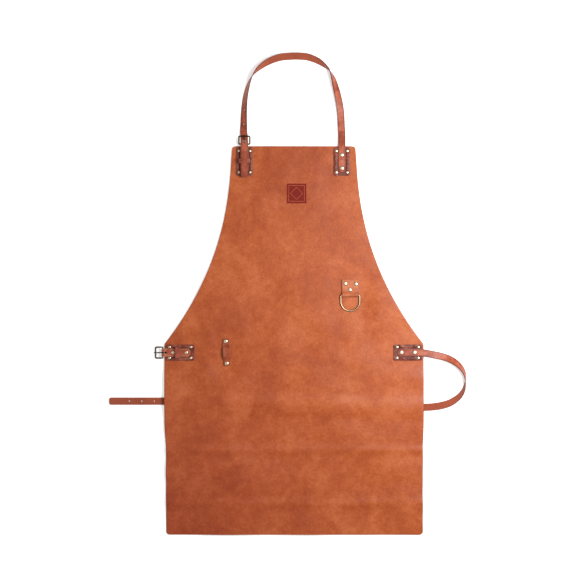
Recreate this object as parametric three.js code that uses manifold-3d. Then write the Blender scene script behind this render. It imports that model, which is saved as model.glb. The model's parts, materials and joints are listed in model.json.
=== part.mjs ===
// A leather work apron, laid flat on its back with its straps lying free.
// Millimetres. +X is to the right across the apron, +Y runs from the hem to the neck, +Z is up
// from the surface it lies on. The group is shifted at the end so that its origin is the middle
// of its footprint.
import * as THREE from "three";
import { mergeVertices } from "three/addons/utils/BufferGeometryUtils.js";
import Module from "manifold-3d";

const wasm = await Module();
wasm.setup();

// ---- The sheet --------------------------------------------------------------------------------
const HEM_W = 570; // width of the skirt
const SHEET_H = 854; // hem to bib top
const WAIST_H = 420; // hem to the corners of the armholes
const BIB_W = 272; // width of the bib's top edge
const BIB_SHIFT = -0.5; // the hand-cut bib sits this far off the skirt's centre line
const NECK_SHIFT = -2; // and the neck strap's two patches this far
const SHEET_T = 2; // thickness of the hide
const HEM_CORNER_R = 8;
const BIB_CORNER_R = 9;
const WAIST_CORNER_R = 5;

// ---- Straps -----------------------------------------------------------------------------------
const STRAP_W = 16;
const STRAP_T = 2;
const HOLE_R = 1.75; // adjustment holes
const NECK_HOLE_PITCH = 31;
const WAIST_HOLE_PITCH = 27.5;
const WAIST_HOLE_FIRST = 44.6; // from the tip to the first hole
const WAIST_HOLES = 5;
const STRAP_STEP = 13; // length of one straight step along a bend

// ---- Patches, billets and keepers ---------------------------------------------------------------
const PATCH_L = 64;
const PATCH_T = 1.5;
const PATCH_CORNER_R = 4.5;
const PATCH_INSET = 2; // from the sheet's edge to the patch's edge
const WAIST_PATCH_INSET = 3;
const NECK_PATCH_X = 107; // from the bib's centre line to a neck patch's centre
const BILLET_T = 1.2;
const BILLET_TAIL = 23; // from the patch's centre to the billet's round inner end
const BILLET_OVERHANG = 6; // from the patch's edge to the middle of the heel bar
const BILLET_SLOPE = 10; // length over which the two plies spread to the bar
const SLOT_W = 4.4; // opening in the fold for the prong
const SLOT_L = 13;
const KEEPER_L = 10; // along the strap
const KEEPER_T = 1.2;
const KEEPER_SLACK = 0.9; // room above the strap in a keeper

// ---- Buckles and ring ---------------------------------------------------------------------------
const WIRE_R = 1.65; // buckle frame
const FRAME_L = 17.4; // heel bar to outer bar, centre to centre
const FRAME_CORNER_R = 2.6;
const PRONG_R = 1.2;
const PRONG_EYE_W = 3;
const PRONG_EYE_T = 1.15;
const NECK_FRAME_TILT = 5; // degrees: the strap under the outer bar holds it up
const RING_R = 1.75; // D-ring wire
const RING_INNER_W = 38;
const RING_LEG = 13.2; // straight part of the D beside the bar
const RING_CORNER_R = 2;

// ---- Tab and tool loop --------------------------------------------------------------------------
const TAB_X = 123.5;
const TAB_Y = 525.8; // the ring's bar
const TAB_W = 37;
const TAB_TAIL = 35;
const TAB_T = 1.4;
const TAB_SLOPE = 8;
const LOOP_X = -149;
const LOOP_Y = 400.8;
const LOOP_L = 60.5;
const LOOP_LEAN = 2.9; // degrees
const LOOP_RISE = 7; // free height under the loop
const LOOP_END = 6; // from an end to its rivet

// ---- Rivets -------------------------------------------------------------------------------------
const POST_R = 1.2;
const RIVET_CLEAR = 0.25; // between a post and its hole
const BACK_R = 3.2;
const BACK_T = 1;
const DOME_H = 1.3;
const CORNER_HEAD_R = 3.3;
const STRAP_HEAD_R = 4.5;
const BILLET_HEAD_R = 4;
const HEAD_SIDE_GAP = 0.7; // between a strap's edge and the rivet heads beside it

// ---- Fits -----------------------------------------------------------------------------------------
const GAP = 0.1; // between layers that lie on each other
const CUT = 0.3; // between the lengths of the neck strap
const BAR_CLEAR = 0.15; // round a bar in its eye

// ---- Heights of the layers ------------------------------------------------------------------------
const SHEET_Z = BACK_T + 2 * GAP; // underside of the raised sheet, over the rivets' backs
const SHEET_TOP = SHEET_Z + SHEET_T;
const PATCH_Z = SHEET_TOP + GAP;
const PATCH_TOP = PATCH_Z + PATCH_T;
const BILLET_Z = PATCH_TOP + GAP;
const PLY_GAP = KEEPER_T + 2 * BAR_CLEAR; // between the billet's plies, for the keeper's lower run
const BILLET_TOP = BILLET_Z + 2 * BILLET_T + PLY_GAP;
const BAR_Z = BILLET_Z + BILLET_T + GAP + WIRE_R;
const FOLD_TOP = BAR_Z + WIRE_R + GAP + BILLET_T;
const STRAP_OVER_Z = Math.max(FOLD_TOP, BILLET_TOP + GAP + DOME_H) + 1.5 * GAP;
const RING_Z = SHEET_TOP + GAP + TAB_T + GAP + RING_R;
const HUMP_Z = STRAP_T + 3 * GAP; // underside of the sheet where it lies over the waist strap

// ---- Places worked out from the sizes above -------------------------------------------------------
const PATCH_HALF = PATCH_L / 2;
const RIVET_V = STRAP_W / 2 + HEAD_SIDE_GAP + CORNER_HEAD_R; // corner rivets, across the patch
const PATCH_W = 2 * (RIVET_V + 5.5);
const RIVET_U = PATCH_HALF - 8.5; // corner rivets, along the patch
const BILLET_W = STRAP_W + 1;
const FRAME_HALF = BILLET_W / 2 + 1.9 + WIRE_R; // bar centre lines, across
const KEEPER_HALF = BILLET_W / 2 + 2.8; // the keeper is cut long and stands wide of the strap
const BAR_U = PATCH_HALF + BILLET_OVERHANG;
const INNER_RIVET_U = -13.6; // billet rivets, from the patch's centre
const OUTER_RIVET_U = 15.8;
const STRAP_RIVET_U = [-14.2, 14.8]; // strap rivets, from the patch's centre
const STRAP_END_U = -23.4; // round end of a strap that is riveted to its patch
const NECK_KEEPER_U = 1.1;
const WAIST_KEEPER_U = 5.3;
const NECK_Y = SHEET_H - PATCH_INSET - PATCH_HALF;
const WAIST_X = HEM_W / 2 - WAIST_PATCH_INSET - PATCH_HALF;
const WAIST_Y = WAIST_H - PATCH_INSET - PATCH_W / 2;
const BACK_RUN_RIGHT_Y = WAIST_Y - 120.5; // the waist strap behind the sheet
const BACK_RUN_LEFT_Y = WAIST_Y - 107;

const LEATHER = { color: 0xbe5f37, roughness: 0.55, metalness: 0 };
const DARK_LEATHER = { color: 0x823c32, roughness: 0.4, metalness: 0 };
const STRAP_LEATHER = { color: 0xa04b37, roughness: 0.55, metalness: 0 };
const BRASS = { color: 0x6b5228, roughness: 0.35, metalness: 1 };
const RIVET_BRASS = { color: 0xb89c6a, roughness: 0.35, metalness: 1 };

const apron = new THREE.Group();

// ---- Helpers --------------------------------------------------------------------------------------

function solid(geometry) {
  const bare = geometry.index ? geometry.toNonIndexed() : geometry.clone();
  bare.deleteAttribute("normal");
  bare.deleteAttribute("uv");
  const merged = mergeVertices(bare, 1e-4);
  return new wasm.Manifold(
    new wasm.Mesh({
      numProp: 3,
      vertProperties: merged.attributes.position.array,
      triVerts: new Uint32Array(merged.index.array),
    }),
  );
}

function geometryOf(manifold) {
  const mesh = manifold.getMesh();
  const geometry = new THREE.BufferGeometry();
  geometry.setAttribute("position", new THREE.BufferAttribute(mesh.vertProperties, 3));
  geometry.setIndex(new THREE.BufferAttribute(mesh.triVerts, 1));
  geometry.computeVertexNormals();
  return geometry;
}

// Turns a shape drawn in Y and Z and made long in X: (y, z, x) to (x, y, z).
const AXES_TURNED = new THREE.Matrix4().set(0, 0, 1, 0, 1, 0, 0, 0, 0, 1, 0, 0, 0, 0, 0, 1);

function cut(geometry, cutters) {
  return cutters.reduce((body, cutter) => body.subtract(solid(cutter)), solid(geometry));
}

function addMesh(name, geometry, look, parent = apron) {
  const mesh = new THREE.Mesh(geometry, new THREE.MeshStandardMaterial(look));
  mesh.name = name;
  parent.add(mesh);
  return mesh;
}

// A rectangle with round corners, from (x0, y0) to (x1, y1).
function roundedRect(Kind, x0, y0, x1, y1, r) {
  const shape = new Kind();
  shape.moveTo(x0 + r, y0);
  shape.lineTo(x1 - r, y0);
  shape.absarc(x1 - r, y0 + r, r, -Math.PI / 2, 0, false);
  shape.lineTo(x1, y1 - r);
  shape.absarc(x1 - r, y1 - r, r, 0, Math.PI / 2, false);
  shape.lineTo(x0 + r, y1);
  shape.absarc(x0 + r, y1 - r, r, Math.PI / 2, Math.PI, false);
  shape.lineTo(x0, y0 + r);
  shape.absarc(x0 + r, y0 + r, r, Math.PI, Math.PI * 1.5, false);
  return shape;
}

function plate(shape, z0, z1, curveSegments = 2) {
  const geometry = new THREE.ExtrudeGeometry(shape, {
    depth: z1 - z0,
    bevelEnabled: false,
    curveSegments,
  });
  return geometry.translate(0, 0, z0);
}

// An upright cylinder at (x, y), for a round hole.
function drill(x, y, r, z0 = -5, z1 = 30) {
  const geometry = new THREE.CylinderGeometry(r, r, z1 - z0, 8);
  return geometry.rotateX(Math.PI / 2).translate(x, y, (z0 + z1) / 2);
}

// A round bar bent along a closed flat outline: a torus whose rings are moved to the outline.
function closedWire(shape, r, divisions = 3, sides = 8) {
  const corners = shape.getPoints(divisions);
  const points = corners.filter((p, i) => p.distanceTo(corners.at(i - 1)) > 1e-3);
  const n = points.length;
  const geometry = new THREE.TorusGeometry(2, 1, sides, n);
  const place = geometry.attributes.position;
  const across = points.map((p, i) => {
    const before = p.clone().sub(points.at(i - 1)).normalize();
    const after = points[(i + 1) % n].clone().sub(p).normalize();
    const mitre = 1 / Math.max(0.5, Math.cos(before.angleTo(after) / 2));
    const along = before.add(after).normalize();
    return new THREE.Vector2(along.y, -along.x).multiplyScalar(mitre);
  });
  for (let v = 0; v < place.count; v++) {
    const angle = Math.atan2(place.getY(v), place.getX(v));
    const i = (Math.round((angle / (2 * Math.PI)) * n) + n) % n;
    const out = (Math.hypot(place.getX(v), place.getY(v)) - 2) * r;
    const p = points[i].clone().addScaledVector(across[i], out);
    place.setXYZ(v, p.x, p.y, place.getZ(v) * r);
  }
  return geometry;
}

// A flat strap's route. Each knot is [x, y, twist in degrees, lift]: at no twist the grain side is
// up, at 90 the strap stands on its edge with the grain outwards, and lift is the height of the
// strap's lowest line above the surface.
class StrapRoute {
  constructor(knots, width, thickness) {
    const curve = (of) => new THREE.CatmullRomCurve3(knots.map(of), false, "centripetal");
    this.width = width;
    this.thickness = thickness;
    this.knots = knots;
    this.plan = curve(([x, y, , lift]) => new THREE.Vector3(x, y, lift));
    this.twist = curve(([, , twist], i) => new THREE.Vector3(twist, i, 0));
  }

  centre(t) {
    const p = this.plan.getPoint(t);
    const twist = THREE.MathUtils.degToRad(this.twist.getPoint(t).x);
    const onEdge = Math.abs(Math.sin(twist)) * this.width;
    p.z += (onEdge + Math.abs(Math.cos(twist)) * this.thickness) / 2;
    return p;
  }

  // The strap's centre with its directions along, across its width and out of its grain side.
  frame(t) {
    const step = 1e-3;
    const ahead = this.centre(Math.min(1, t + step));
    const along = ahead.sub(this.centre(Math.max(0, t - step))).normalize();
    const outward = new THREE.Vector3(-along.y, along.x, 0).normalize();
    const upward = along.clone().cross(outward);
    const twist = THREE.MathUtils.degToRad(this.twist.getPoint(t).x);
    const grain = upward.clone().multiplyScalar(Math.cos(twist));
    grain.addScaledVector(outward, Math.sin(twist));
    const side = outward.multiplyScalar(Math.cos(twist)).addScaledVector(upward, -Math.sin(twist));
    return { centre: this.centre(t), along, side, grain };
  }

  // The share of the route at a knot.
  at(knot) {
    return knot / (this.knots.length - 1);
  }

  // The share of the route a short distance past a knot, or before it if the distance is negative.
  beside(knot, distance) {
    const next = this.centre(this.at(knot + Math.sign(distance)));
    return this.at(knot + distance / next.distanceTo(this.centre(this.at(knot))));
  }

  // Steps from one share of the route to another, closer together on short stretches.
  steps(from, to) {
    const shares = [from];
    const last = this.knots.length - 1;
    for (let k = Math.floor(from * last); k < Math.ceil(to * last); k++) {
      const length = this.centre(this.at(k + 1)).distanceTo(this.centre(this.at(k)));
      const turn = Math.abs(this.knots[k + 1][2] - this.knots[k][2]);
      const straight = turn < 1 && length > 6 * STRAP_STEP;
      const n = straight ? 1 : Math.ceil(length / STRAP_STEP);
      for (let i = 1; i <= n; i++) {
        const share = this.at(k + i / n);
        if (share > from + 1e-6 && share < to - 1e-6) shares.push(share);
      }
    }
    return [...shares, to];
  }

  // One length of the strap: a box bent along the route.
  length(from, to) {
    const shares = this.steps(from, to);
    const n = shares.length - 1;
    const geometry = new THREE.BoxGeometry(this.width, this.thickness, 1, 1, 1, n);
    const frames = shares.map((t) => this.frame(t));
    const place = geometry.attributes.position;
    for (let v = 0; v < place.count; v++) {
      const { centre, side, grain } = frames[Math.round((place.getZ(v) + 0.5) * n)];
      const p = centre.clone().addScaledVector(side, place.getX(v));
      p.addScaledVector(grain, place.getY(v));
      place.setXYZ(v, p.x, p.y, p.z);
    }
    return geometry;
  }

  // A matrix that stands a shape on the strap: its X across, its Y along and its Z out of the grain.
  matrix(t) {
    const { centre, along, side, grain } = this.frame(t);
    return new THREE.Matrix4().makeBasis(side.negate(), along, grain).setPosition(centre);
  }

  hole(t, width, length) {
    const r = width / 2;
    const outline = roundedRect(THREE.Shape, -r, -length / 2, r, length / 2, r - 1e-3);
    return plate(outline, -6, 6).applyMatrix4(this.matrix(t));
  }

  // What a round end leaves of a square one. toward is 1 where the strap ends ahead of t, and -1
  // where it ends behind.
  roundEnd(t, toward) {
    const half = this.width / 2;
    const waste = new THREE.Shape();
    waste.moveTo(-half - 1, 0);
    waste.lineTo(-half, 0);
    waste.absarc(0, 0, half, Math.PI, 0, true);
    waste.lineTo(half + 1, 0);
    waste.lineTo(half + 1, half + 1);
    waste.lineTo(-half - 1, half + 1);
    const geometry = plate(waste, -3, 3, 6).translate(0, -half, 0);
    if (toward < 0) geometry.rotateZ(Math.PI);
    return geometry.applyMatrix4(this.matrix(t));
  }
}

// A leather fold round a bar: two plies, closed round the bar at u = 0 and running to u = -tail.
function fold(tail, slope, barR, ply, plyGap, z) {
  const inner = barR + GAP;
  const outer = inner + ply;
  const barZ = z + outer;
  const low = z + ply;
  const high = low + plyGap;
  const profile = new THREE.Shape();
  profile.moveTo(-tail, z);
  profile.lineTo(0, z);
  profile.absarc(0, barZ, outer, -Math.PI / 2, Math.PI / 2, false);
  profile.lineTo(-slope / 3, barZ + outer);
  profile.lineTo(-slope, high + ply);
  profile.lineTo(-tail, high + ply);
  profile.lineTo(-tail, high);
  profile.lineTo(-slope, high);
  profile.lineTo(-slope / 3, barZ + inner);
  profile.lineTo(0, barZ + inner);
  profile.absarc(0, barZ, inner, Math.PI / 2, -Math.PI / 2, true);
  profile.lineTo(-tail, low);
  return profile;
}

const FOLD_SEGMENTS = 8; // enough that the eye's flats clear a turning bar

// The fold's profile stood up along X and made as wide as the piece.
function foldBody(profile, width) {
  const geometry = new THREE.ExtrudeGeometry(profile, {
    depth: width,
    bevelEnabled: false,
    curveSegments: FOLD_SEGMENTS,
  });
  return geometry.rotateX(Math.PI / 2).translate(0, width / 2, 0);
}

// ---- Stations: the four patches, with what is riveted to each ---------------------------------------
// A station's own X runs outwards, over the nearest edge of the sheet.
const stations = {
  neck_left: { x: NECK_SHIFT - NECK_PATCH_X, y: NECK_Y, turn: 90, buckle: true },
  neck_right: { x: NECK_SHIFT + NECK_PATCH_X, y: NECK_Y, turn: 90, buckle: false },
  waist_left: { x: -WAIST_X, y: WAIST_Y, turn: 180, buckle: true },
  waist_right: { x: WAIST_X, y: WAIST_Y, turn: 0, buckle: false },
};

function sheetPoint(station, u, v) {
  const turn = THREE.MathUtils.degToRad(station.turn);
  const p = new THREE.Vector2(u, v).rotateAround(new THREE.Vector2(), turn);
  return [station.x + p.x, station.y + p.y];
}

function stationGroup(station) {
  const group = new THREE.Group();
  group.position.set(station.x, station.y, 0);
  group.rotation.z = THREE.MathUtils.degToRad(station.turn);
  group.updateMatrixWorld(true);
  apron.add(group);
  return group;
}

// Every rivet: its name, its place, its head's radius and the top of what it holds.
const rivets = [];

function addRivet(name, [x, y], headR, gripTop) {
  rivets.push({ name, x, y, headR, gripTop });
}

for (const [name, station] of Object.entries(stations)) {
  let corner = 0;
  for (const u of [-RIVET_U, RIVET_U])
    for (const v of [-RIVET_V, RIVET_V]) {
      corner += 1;
      addRivet(`${name}_patch_rivet_${corner}`, sheetPoint(station, u, v), CORNER_HEAD_R, PATCH_TOP);
    }
  const along = station.buckle
    ? { kind: "billet", headR: BILLET_HEAD_R, top: BILLET_TOP, places: [INNER_RIVET_U, OUTER_RIVET_U] }
    : { kind: "strap", headR: STRAP_HEAD_R, top: PATCH_TOP + GAP + STRAP_T, places: STRAP_RIVET_U };
  along.places.forEach((u, i) => {
    const place = sheetPoint(station, u, 0);
    addRivet(`${name}_${along.kind}_rivet_${i + 1}`, place, along.headR, along.top);
  });
}

const TAB_TOP = SHEET_TOP + GAP + 2 * TAB_T + GAP;
[[-10.9, 26.2], [12.5, 25.2], [-0.7, 12.5]].forEach(([dx, dy], i) =>
  addRivet(`d_ring_tab_rivet_${i + 1}`, [TAB_X + dx, TAB_Y + dy], BILLET_HEAD_R, TAB_TOP),
);

const loopLean = THREE.MathUtils.degToRad(LOOP_LEAN);
const LOOP_RIVET = LOOP_L / 2 - LOOP_END;
[1, -1].forEach((end, i) =>
  addRivet(
    `tool_loop_rivet_${i + 1}`,
    [LOOP_X - end * LOOP_RIVET * Math.sin(loopLean), LOOP_Y + end * LOOP_RIVET * Math.cos(loopLean)],
    STRAP_HEAD_R,
    SHEET_TOP + GAP + STRAP_T,
  ),
);

// ---- The sheet --------------------------------------------------------------------------------------
// Its side profile lies on the surface at the skirt, goes over the waist strap and stays a rivet
// back's height above the surface further up.
function sheetProfile() {
  const humpLow = BACK_RUN_RIGHT_Y - STRAP_W / 2 - 3;
  const humpHigh = BACK_RUN_LEFT_Y + STRAP_W / 2 + 3;
  const underside = [
    [-1, 0],
    [humpLow - 24, 0],
    [humpLow, HUMP_Z],
    [humpHigh, HUMP_Z],
    [humpHigh + 16, SHEET_Z],
    [SHEET_H + 1, SHEET_Z],
  ];
  const topside = underside.map(([y, z]) => [y, z + SHEET_T]).reverse();
  return new THREE.Shape([...underside, ...topside].map(([y, z]) => new THREE.Vector2(y, z)));
}

function sheetOutline() {
  const half = HEM_W / 2;
  const bib = BIB_W / 2;
  const right = BIB_SHIFT + bib;
  const left = BIB_SHIFT - bib;
  const rise = SHEET_H - WAIST_H;
  // The armhole leaves the bib nearly upright and reaches the waist corner at about 45 degrees.
  const bibPull = [0.038, SHEET_H - 0.151 * rise];
  const waistPull = [-0.006, WAIST_H + 0.442 * rise];
  const armX = (side, share) => (side > 0 ? right + share * (half - right) : left - share * (half + left));
  const shape = new THREE.Shape();
  shape.moveTo(-half + HEM_CORNER_R, 0);
  shape.lineTo(half - HEM_CORNER_R, 0);
  shape.absarc(half - HEM_CORNER_R, HEM_CORNER_R, HEM_CORNER_R, -Math.PI / 2, 0, false);
  shape.lineTo(half, WAIST_H - WAIST_CORNER_R);
  shape.quadraticCurveTo(half, WAIST_H, half - WAIST_CORNER_R * 0.7, WAIST_H + WAIST_CORNER_R * 0.7);
  shape.bezierCurveTo(
    armX(1, waistPull[0]), waistPull[1],
    armX(1, bibPull[0]), bibPull[1],
    right, SHEET_H - BIB_CORNER_R,
  );
  shape.quadraticCurveTo(right, SHEET_H, right - BIB_CORNER_R, SHEET_H);
  shape.lineTo(left + BIB_CORNER_R, SHEET_H);
  shape.quadraticCurveTo(left, SHEET_H, left, SHEET_H - BIB_CORNER_R);
  shape.bezierCurveTo(
    armX(-1, bibPull[0]), bibPull[1],
    armX(-1, waistPull[0]), waistPull[1],
    -half + WAIST_CORNER_R * 0.7, WAIST_H + WAIST_CORNER_R * 0.7,
  );
  shape.quadraticCurveTo(-half, WAIST_H, -half, WAIST_H - WAIST_CORNER_R);
  shape.lineTo(-half, HEM_CORNER_R);
  shape.absarc(-half + HEM_CORNER_R, HEM_CORNER_R, HEM_CORNER_R, Math.PI, Math.PI * 1.5, false);
  return shape;
}

function makeSheet() {
  const profile = new THREE.ExtrudeGeometry(sheetProfile(), { depth: HEM_W + 20, bevelEnabled: false });
  profile.applyMatrix4(AXES_TURNED).translate(-HEM_W / 2 - 10, 0, 0);
  const blank = solid(profile).intersect(solid(plate(sheetOutline(), -5, 20, 12)));
  const holes = rivets.map(({ x, y }) => drill(x, y, POST_R + RIVET_CLEAR));
  return geometryOf(holes.reduce((body, hole) => body.subtract(solid(hole)), blank));
}

// ---- What lies on the sheet -------------------------------------------------------------------------

function makePatch(places) {
  const outline = roundedRect(
    THREE.Shape, -PATCH_HALF, -PATCH_W / 2, PATCH_HALF, PATCH_W / 2, PATCH_CORNER_R,
  );
  return geometryOf(
    cut(plate(outline, PATCH_Z, PATCH_TOP), places.map(([u, v]) => drill(u, v, POST_R + RIVET_CLEAR))),
  );
}

function makeBillet() {
  const profile = fold(BAR_U + BILLET_TAIL, BILLET_SLOPE, WIRE_R, BILLET_T, PLY_GAP, BILLET_Z);
  const body = solid(foldBody(profile, BILLET_W).translate(BAR_U, 0, 0));
  const end = BAR_U + WIRE_R + GAP + BILLET_T;
  const half = BILLET_W / 2;
  const outline = new THREE.Shape();
  outline.moveTo(end + 1, half + 1);
  outline.lineTo(-BILLET_TAIL + half, half + 1);
  outline.lineTo(-BILLET_TAIL + half, half);
  outline.absarc(-BILLET_TAIL + half, 0, half, Math.PI / 2, Math.PI * 1.5, false);
  outline.lineTo(-BILLET_TAIL + half, -half - 1);
  outline.lineTo(end + 1, -half - 1);
  const slot = roundedRect(
    THREE.Shape, BAR_U + 4 - SLOT_L, -SLOT_W / 2, end + 9, SLOT_W / 2, SLOT_W / 2 - 0.1,
  );
  const holes = [INNER_RIVET_U, OUTER_RIVET_U].map((u) => drill(u, 0, POST_R + RIVET_CLEAR));
  return geometryOf(
    [plate(slot, -5, 30), ...holes].reduce(
      (made, cutter) => made.subtract(solid(cutter)),
      body.intersect(solid(plate(outline, -5, 30, 5))),
    ),
  );
}

function makeKeeper() {
  const low = BILLET_Z + BILLET_T + BAR_CLEAR;
  const high = STRAP_OVER_Z + STRAP_T + KEEPER_SLACK + KEEPER_T;
  const outer = KEEPER_HALF + KEEPER_T;
  const shape = roundedRect(THREE.Shape, -outer, low, outer, high, 1.2);
  shape.holes.push(
    roundedRect(THREE.Path, -KEEPER_HALF, low + KEEPER_T, KEEPER_HALF, high - KEEPER_T, 0.3),
  );
  return plate(shape, -KEEPER_L / 2, KEEPER_L / 2, 3).applyMatrix4(AXES_TURNED);
}

// The frame lies flat, with its heel bar on Y and its outer bar ahead on X.
function makeFrame() {
  const outline = roundedRect(THREE.Shape, 0, -FRAME_HALF, FRAME_L, FRAME_HALF, FRAME_CORNER_R);
  return closedWire(outline, WIRE_R);
}

// The prong turns on the heel bar, arches up and rests across the outer bar.
function makeProng() {
  const eyeIn = WIRE_R + BAR_CLEAR;
  const eyeOut = eyeIn + PRONG_EYE_T;
  const ring = new THREE.Shape();
  ring.absarc(0, 0, eyeOut, 0, Math.PI * 2, false);
  ring.holes.push(new THREE.Path().absarc(0, 0, eyeIn, 0, Math.PI * 2, true));
  const eye = plate(ring, -PRONG_EYE_W / 2, PRONG_EYE_W / 2, 8).rotateX(Math.PI / 2);
  const restZ = WIRE_R + PRONG_R + GAP;
  const arch = [
    [eyeOut - 0.9, 1.6],
    [4, 3.5],
    [7.4, 4.6],
    [11, 4.2],
    [FRAME_L, restZ],
    [FRAME_L + 3, restZ - 0.9],
  ];
  const section = new THREE.Shape();
  section.absarc(0, 0, PRONG_R, 0, Math.PI * 2, false);
  const shaft = new THREE.ExtrudeGeometry(section, {
    steps: 12,
    curveSegments: 4,
    bevelEnabled: false,
    extrudePath: new THREE.CatmullRomCurve3(arch.map(([u, z]) => new THREE.Vector3(u, 0, z))),
  });
  return geometryOf(solid(eye).add(solid(shaft)));
}

function addBuckle(name, group, tilt) {
  const frame = new THREE.Group();
  frame.position.set(BAR_U, 0, BAR_Z);
  frame.rotation.y = THREE.MathUtils.degToRad(tilt);
  group.add(frame);
  addMesh(`${name}_buckle_frame`, makeFrame(), BRASS, frame);
  addMesh(`${name}_buckle_prong`, makeProng(), BRASS, frame);
}

// The free buckle at the waist hangs down until its outer bar rests on the surface.
const restingTilt = THREE.MathUtils.radToDeg(Math.asin((BAR_Z - WIRE_R - GAP) / FRAME_L));

for (const [name, station] of Object.entries(stations)) {
  const group = stationGroup(station);
  const places = rivets
    .filter((rivet) => rivet.name.startsWith(`${name}_`))
    .map(({ x, y }) => group.worldToLocal(new THREE.Vector3(x, y, 0)).toArray());
  addMesh(`${name}_patch`, makePatch(places), DARK_LEATHER, group);
  if (!station.buckle) continue;
  const side = name.split("_")[0];
  addMesh(`${side}_billet`, makeBillet(), STRAP_LEATHER, group);
  const keeper = addMesh(`${side}_keeper`, makeKeeper(), STRAP_LEATHER, group);
  keeper.position.x = side === "neck" ? NECK_KEEPER_U : WAIST_KEEPER_U;
  addBuckle(side, group, side === "neck" ? -NECK_FRAME_TILT : restingTilt);
}

addMesh("apron_sheet", makeSheet(), LEATHER);

// ---- The neck strap ---------------------------------------------------------------------------------
// One strap, from its loose tip over the left buckle, round the neck and down to the right patch. It is
// in five lengths: the loop, which lifts, the two ends, which lie on the patches, and the two short
// bends between them. Knots are from the bib's centre line and the heel bar.
const STRAP_ON_PATCH = PATCH_TOP + GAP;
const outerBarZ = BAR_Z + FRAME_L * Math.sin(THREE.MathUtils.degToRad(NECK_FRAME_TILT));
// The strap slopes under the outer bar, so more than the bar's and the strap's half heights are needed.
const STRAP_UNDER_BAR = outerBarZ - 1.5 * WIRE_R - 3 * GAP - 0.85 * STRAP_T;
const NECK_KNOTS = [
  [-107, -74, 0, STRAP_OVER_Z],
  [-107, -40, 0, STRAP_OVER_Z],
  [-107, -6, 0, STRAP_OVER_Z],
  [-107, 1, 0, STRAP_OVER_Z + 0.2],
  [-107, 4, 0, STRAP_OVER_Z - 0.3],
  [-107.4, FRAME_L, 0, STRAP_UNDER_BAR],
  [-108.6, 27, 12, 1.3],
  [-108.4, 44, 30, 0.15],
  [-107.6, 44 + NECK_HOLE_PITCH, 42, 0],
  [-105, 102, 52, 0],
  [-100.7, 122, 60, 0],
  [-93.7, 142, 76, 0],
  [-86.9, 153.8, 90, 0],
  [-72.8, 169, 118, 0],
  [-53, 182, 140, 0],
  [-31, 190.5, 152, 0],
  [-7, 193.4, 154, 0],
  [14, 193.6, 154, 0],
  [33, 191.5, 150, 0],
  [55, 182.6, 132, 0],
  [70, 172, 108, 0],
  [79.2, 163.5, 90, 0],
  [87.8, 146, 58, 0],
  [92.6, 129, 40, 0],
  [97.7, 109, 26, 0],
  [101.7, 89, 15, 0],
  [104.5, 69, 8, 0],
  [105.8, 43, 2, 0.3],
  [107, 20, 0, 1.6],
  [107, 4, 0, 3.8],
  [107, -6, 0, STRAP_ON_PATCH],
  [107, -12, 0, STRAP_ON_PATCH],
  [107, -33, 0, STRAP_ON_PATCH],
  [107, -61.4, 0, STRAP_ON_PATCH],
];
const TAIL_KNOT = 2;
const LOOP_START_KNOT = 4;
const FIRST_HOLE_KNOT = 7;
const NECK_HOLES = 2;
const LOOP_END_KNOT = NECK_KNOTS.length - 5;
const FIXED_KNOT = NECK_KNOTS.length - 4;
const PRONG_HOLE_L = 8.4;

function makeNeckStrap() {
  const spread = NECK_PATCH_X / 107;
  const heelY = NECK_Y + BAR_U;
  const route = new StrapRoute(
    NECK_KNOTS.map(([x, y, twist, lift]) => [NECK_SHIFT + x * spread, heelY + y, twist, lift]),
    STRAP_W,
    STRAP_T,
  );
  const last = NECK_KNOTS.length - 1;
  const holes = [];
  for (let k = 0; k < NECK_HOLES; k++) {
    holes.push(route.hole(route.at(FIRST_HOLE_KNOT + k), 2 * HOLE_R, 2 * HOLE_R));
  }
  const prongHole = route.hole(route.at(LOOP_START_KNOT + 0.19), 2 * PRONG_R + 1.4, PRONG_HOLE_L);
  const ends = rivets
    .filter(({ name }) => name.startsWith("neck_right_strap"))
    .map(({ x, y }) => drill(x, y, POST_R + RIVET_CLEAR));
  const lengths = {
    neck_strap_tail: [0, TAIL_KNOT, [route.roundEnd(0, -1)]],
    neck_strap_bend_left: [TAIL_KNOT, LOOP_START_KNOT, [prongHole]],
    neck_strap_loop: [LOOP_START_KNOT, LOOP_END_KNOT, [prongHole, ...holes]],
    neck_strap_bend_right: [LOOP_END_KNOT, FIXED_KNOT, []],
    neck_strap_fixed_end: [FIXED_KNOT, last, [route.roundEnd(1, 1), ...ends]],
  };
  for (const [name, [from, to, cutters]] of Object.entries(lengths)) {
    const start = from === 0 ? 0 : route.beside(from, CUT / 2);
    const end = to === last ? 1 : route.beside(to, -CUT / 2);
    addMesh(name, geometryOf(cut(route.length(start, end), cutters)), STRAP_LEATHER);
  }
}

// ---- The waist strap --------------------------------------------------------------------------------
// From the right patch it curves back on its edge, runs behind the sheet and ends past its left side.
// Knots of the curve are from the sheet's edge and the patch's centre line.
const WAIST_CURVE = [
  [0, -0.6, 0, STRAP_ON_PATCH],
  [17, -3.8, 5, 2.4],
  [37, -8, 15, 0.5],
  [55, -13.7, 25, 0],
  [68.5, -21, 35, 0],
  [80, -30.9, 47, 0],
  [87.7, -42.1, 60, 0],
  [91.2, -55.3, 75, 0],
  [90.5, -68.1, 90, 0],
  [86.8, -82.5, 108, 0],
  [79, -94.7, 125, 0],
  [69, -103.5, 140, 0],
  [56, -111.2, 153, 0],
  [40.6, -116, 165, 0],
  [25, -118.9, 175, 0],
];
const WAIST_TAIL = 121.6; // past the sheet's left edge

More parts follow.
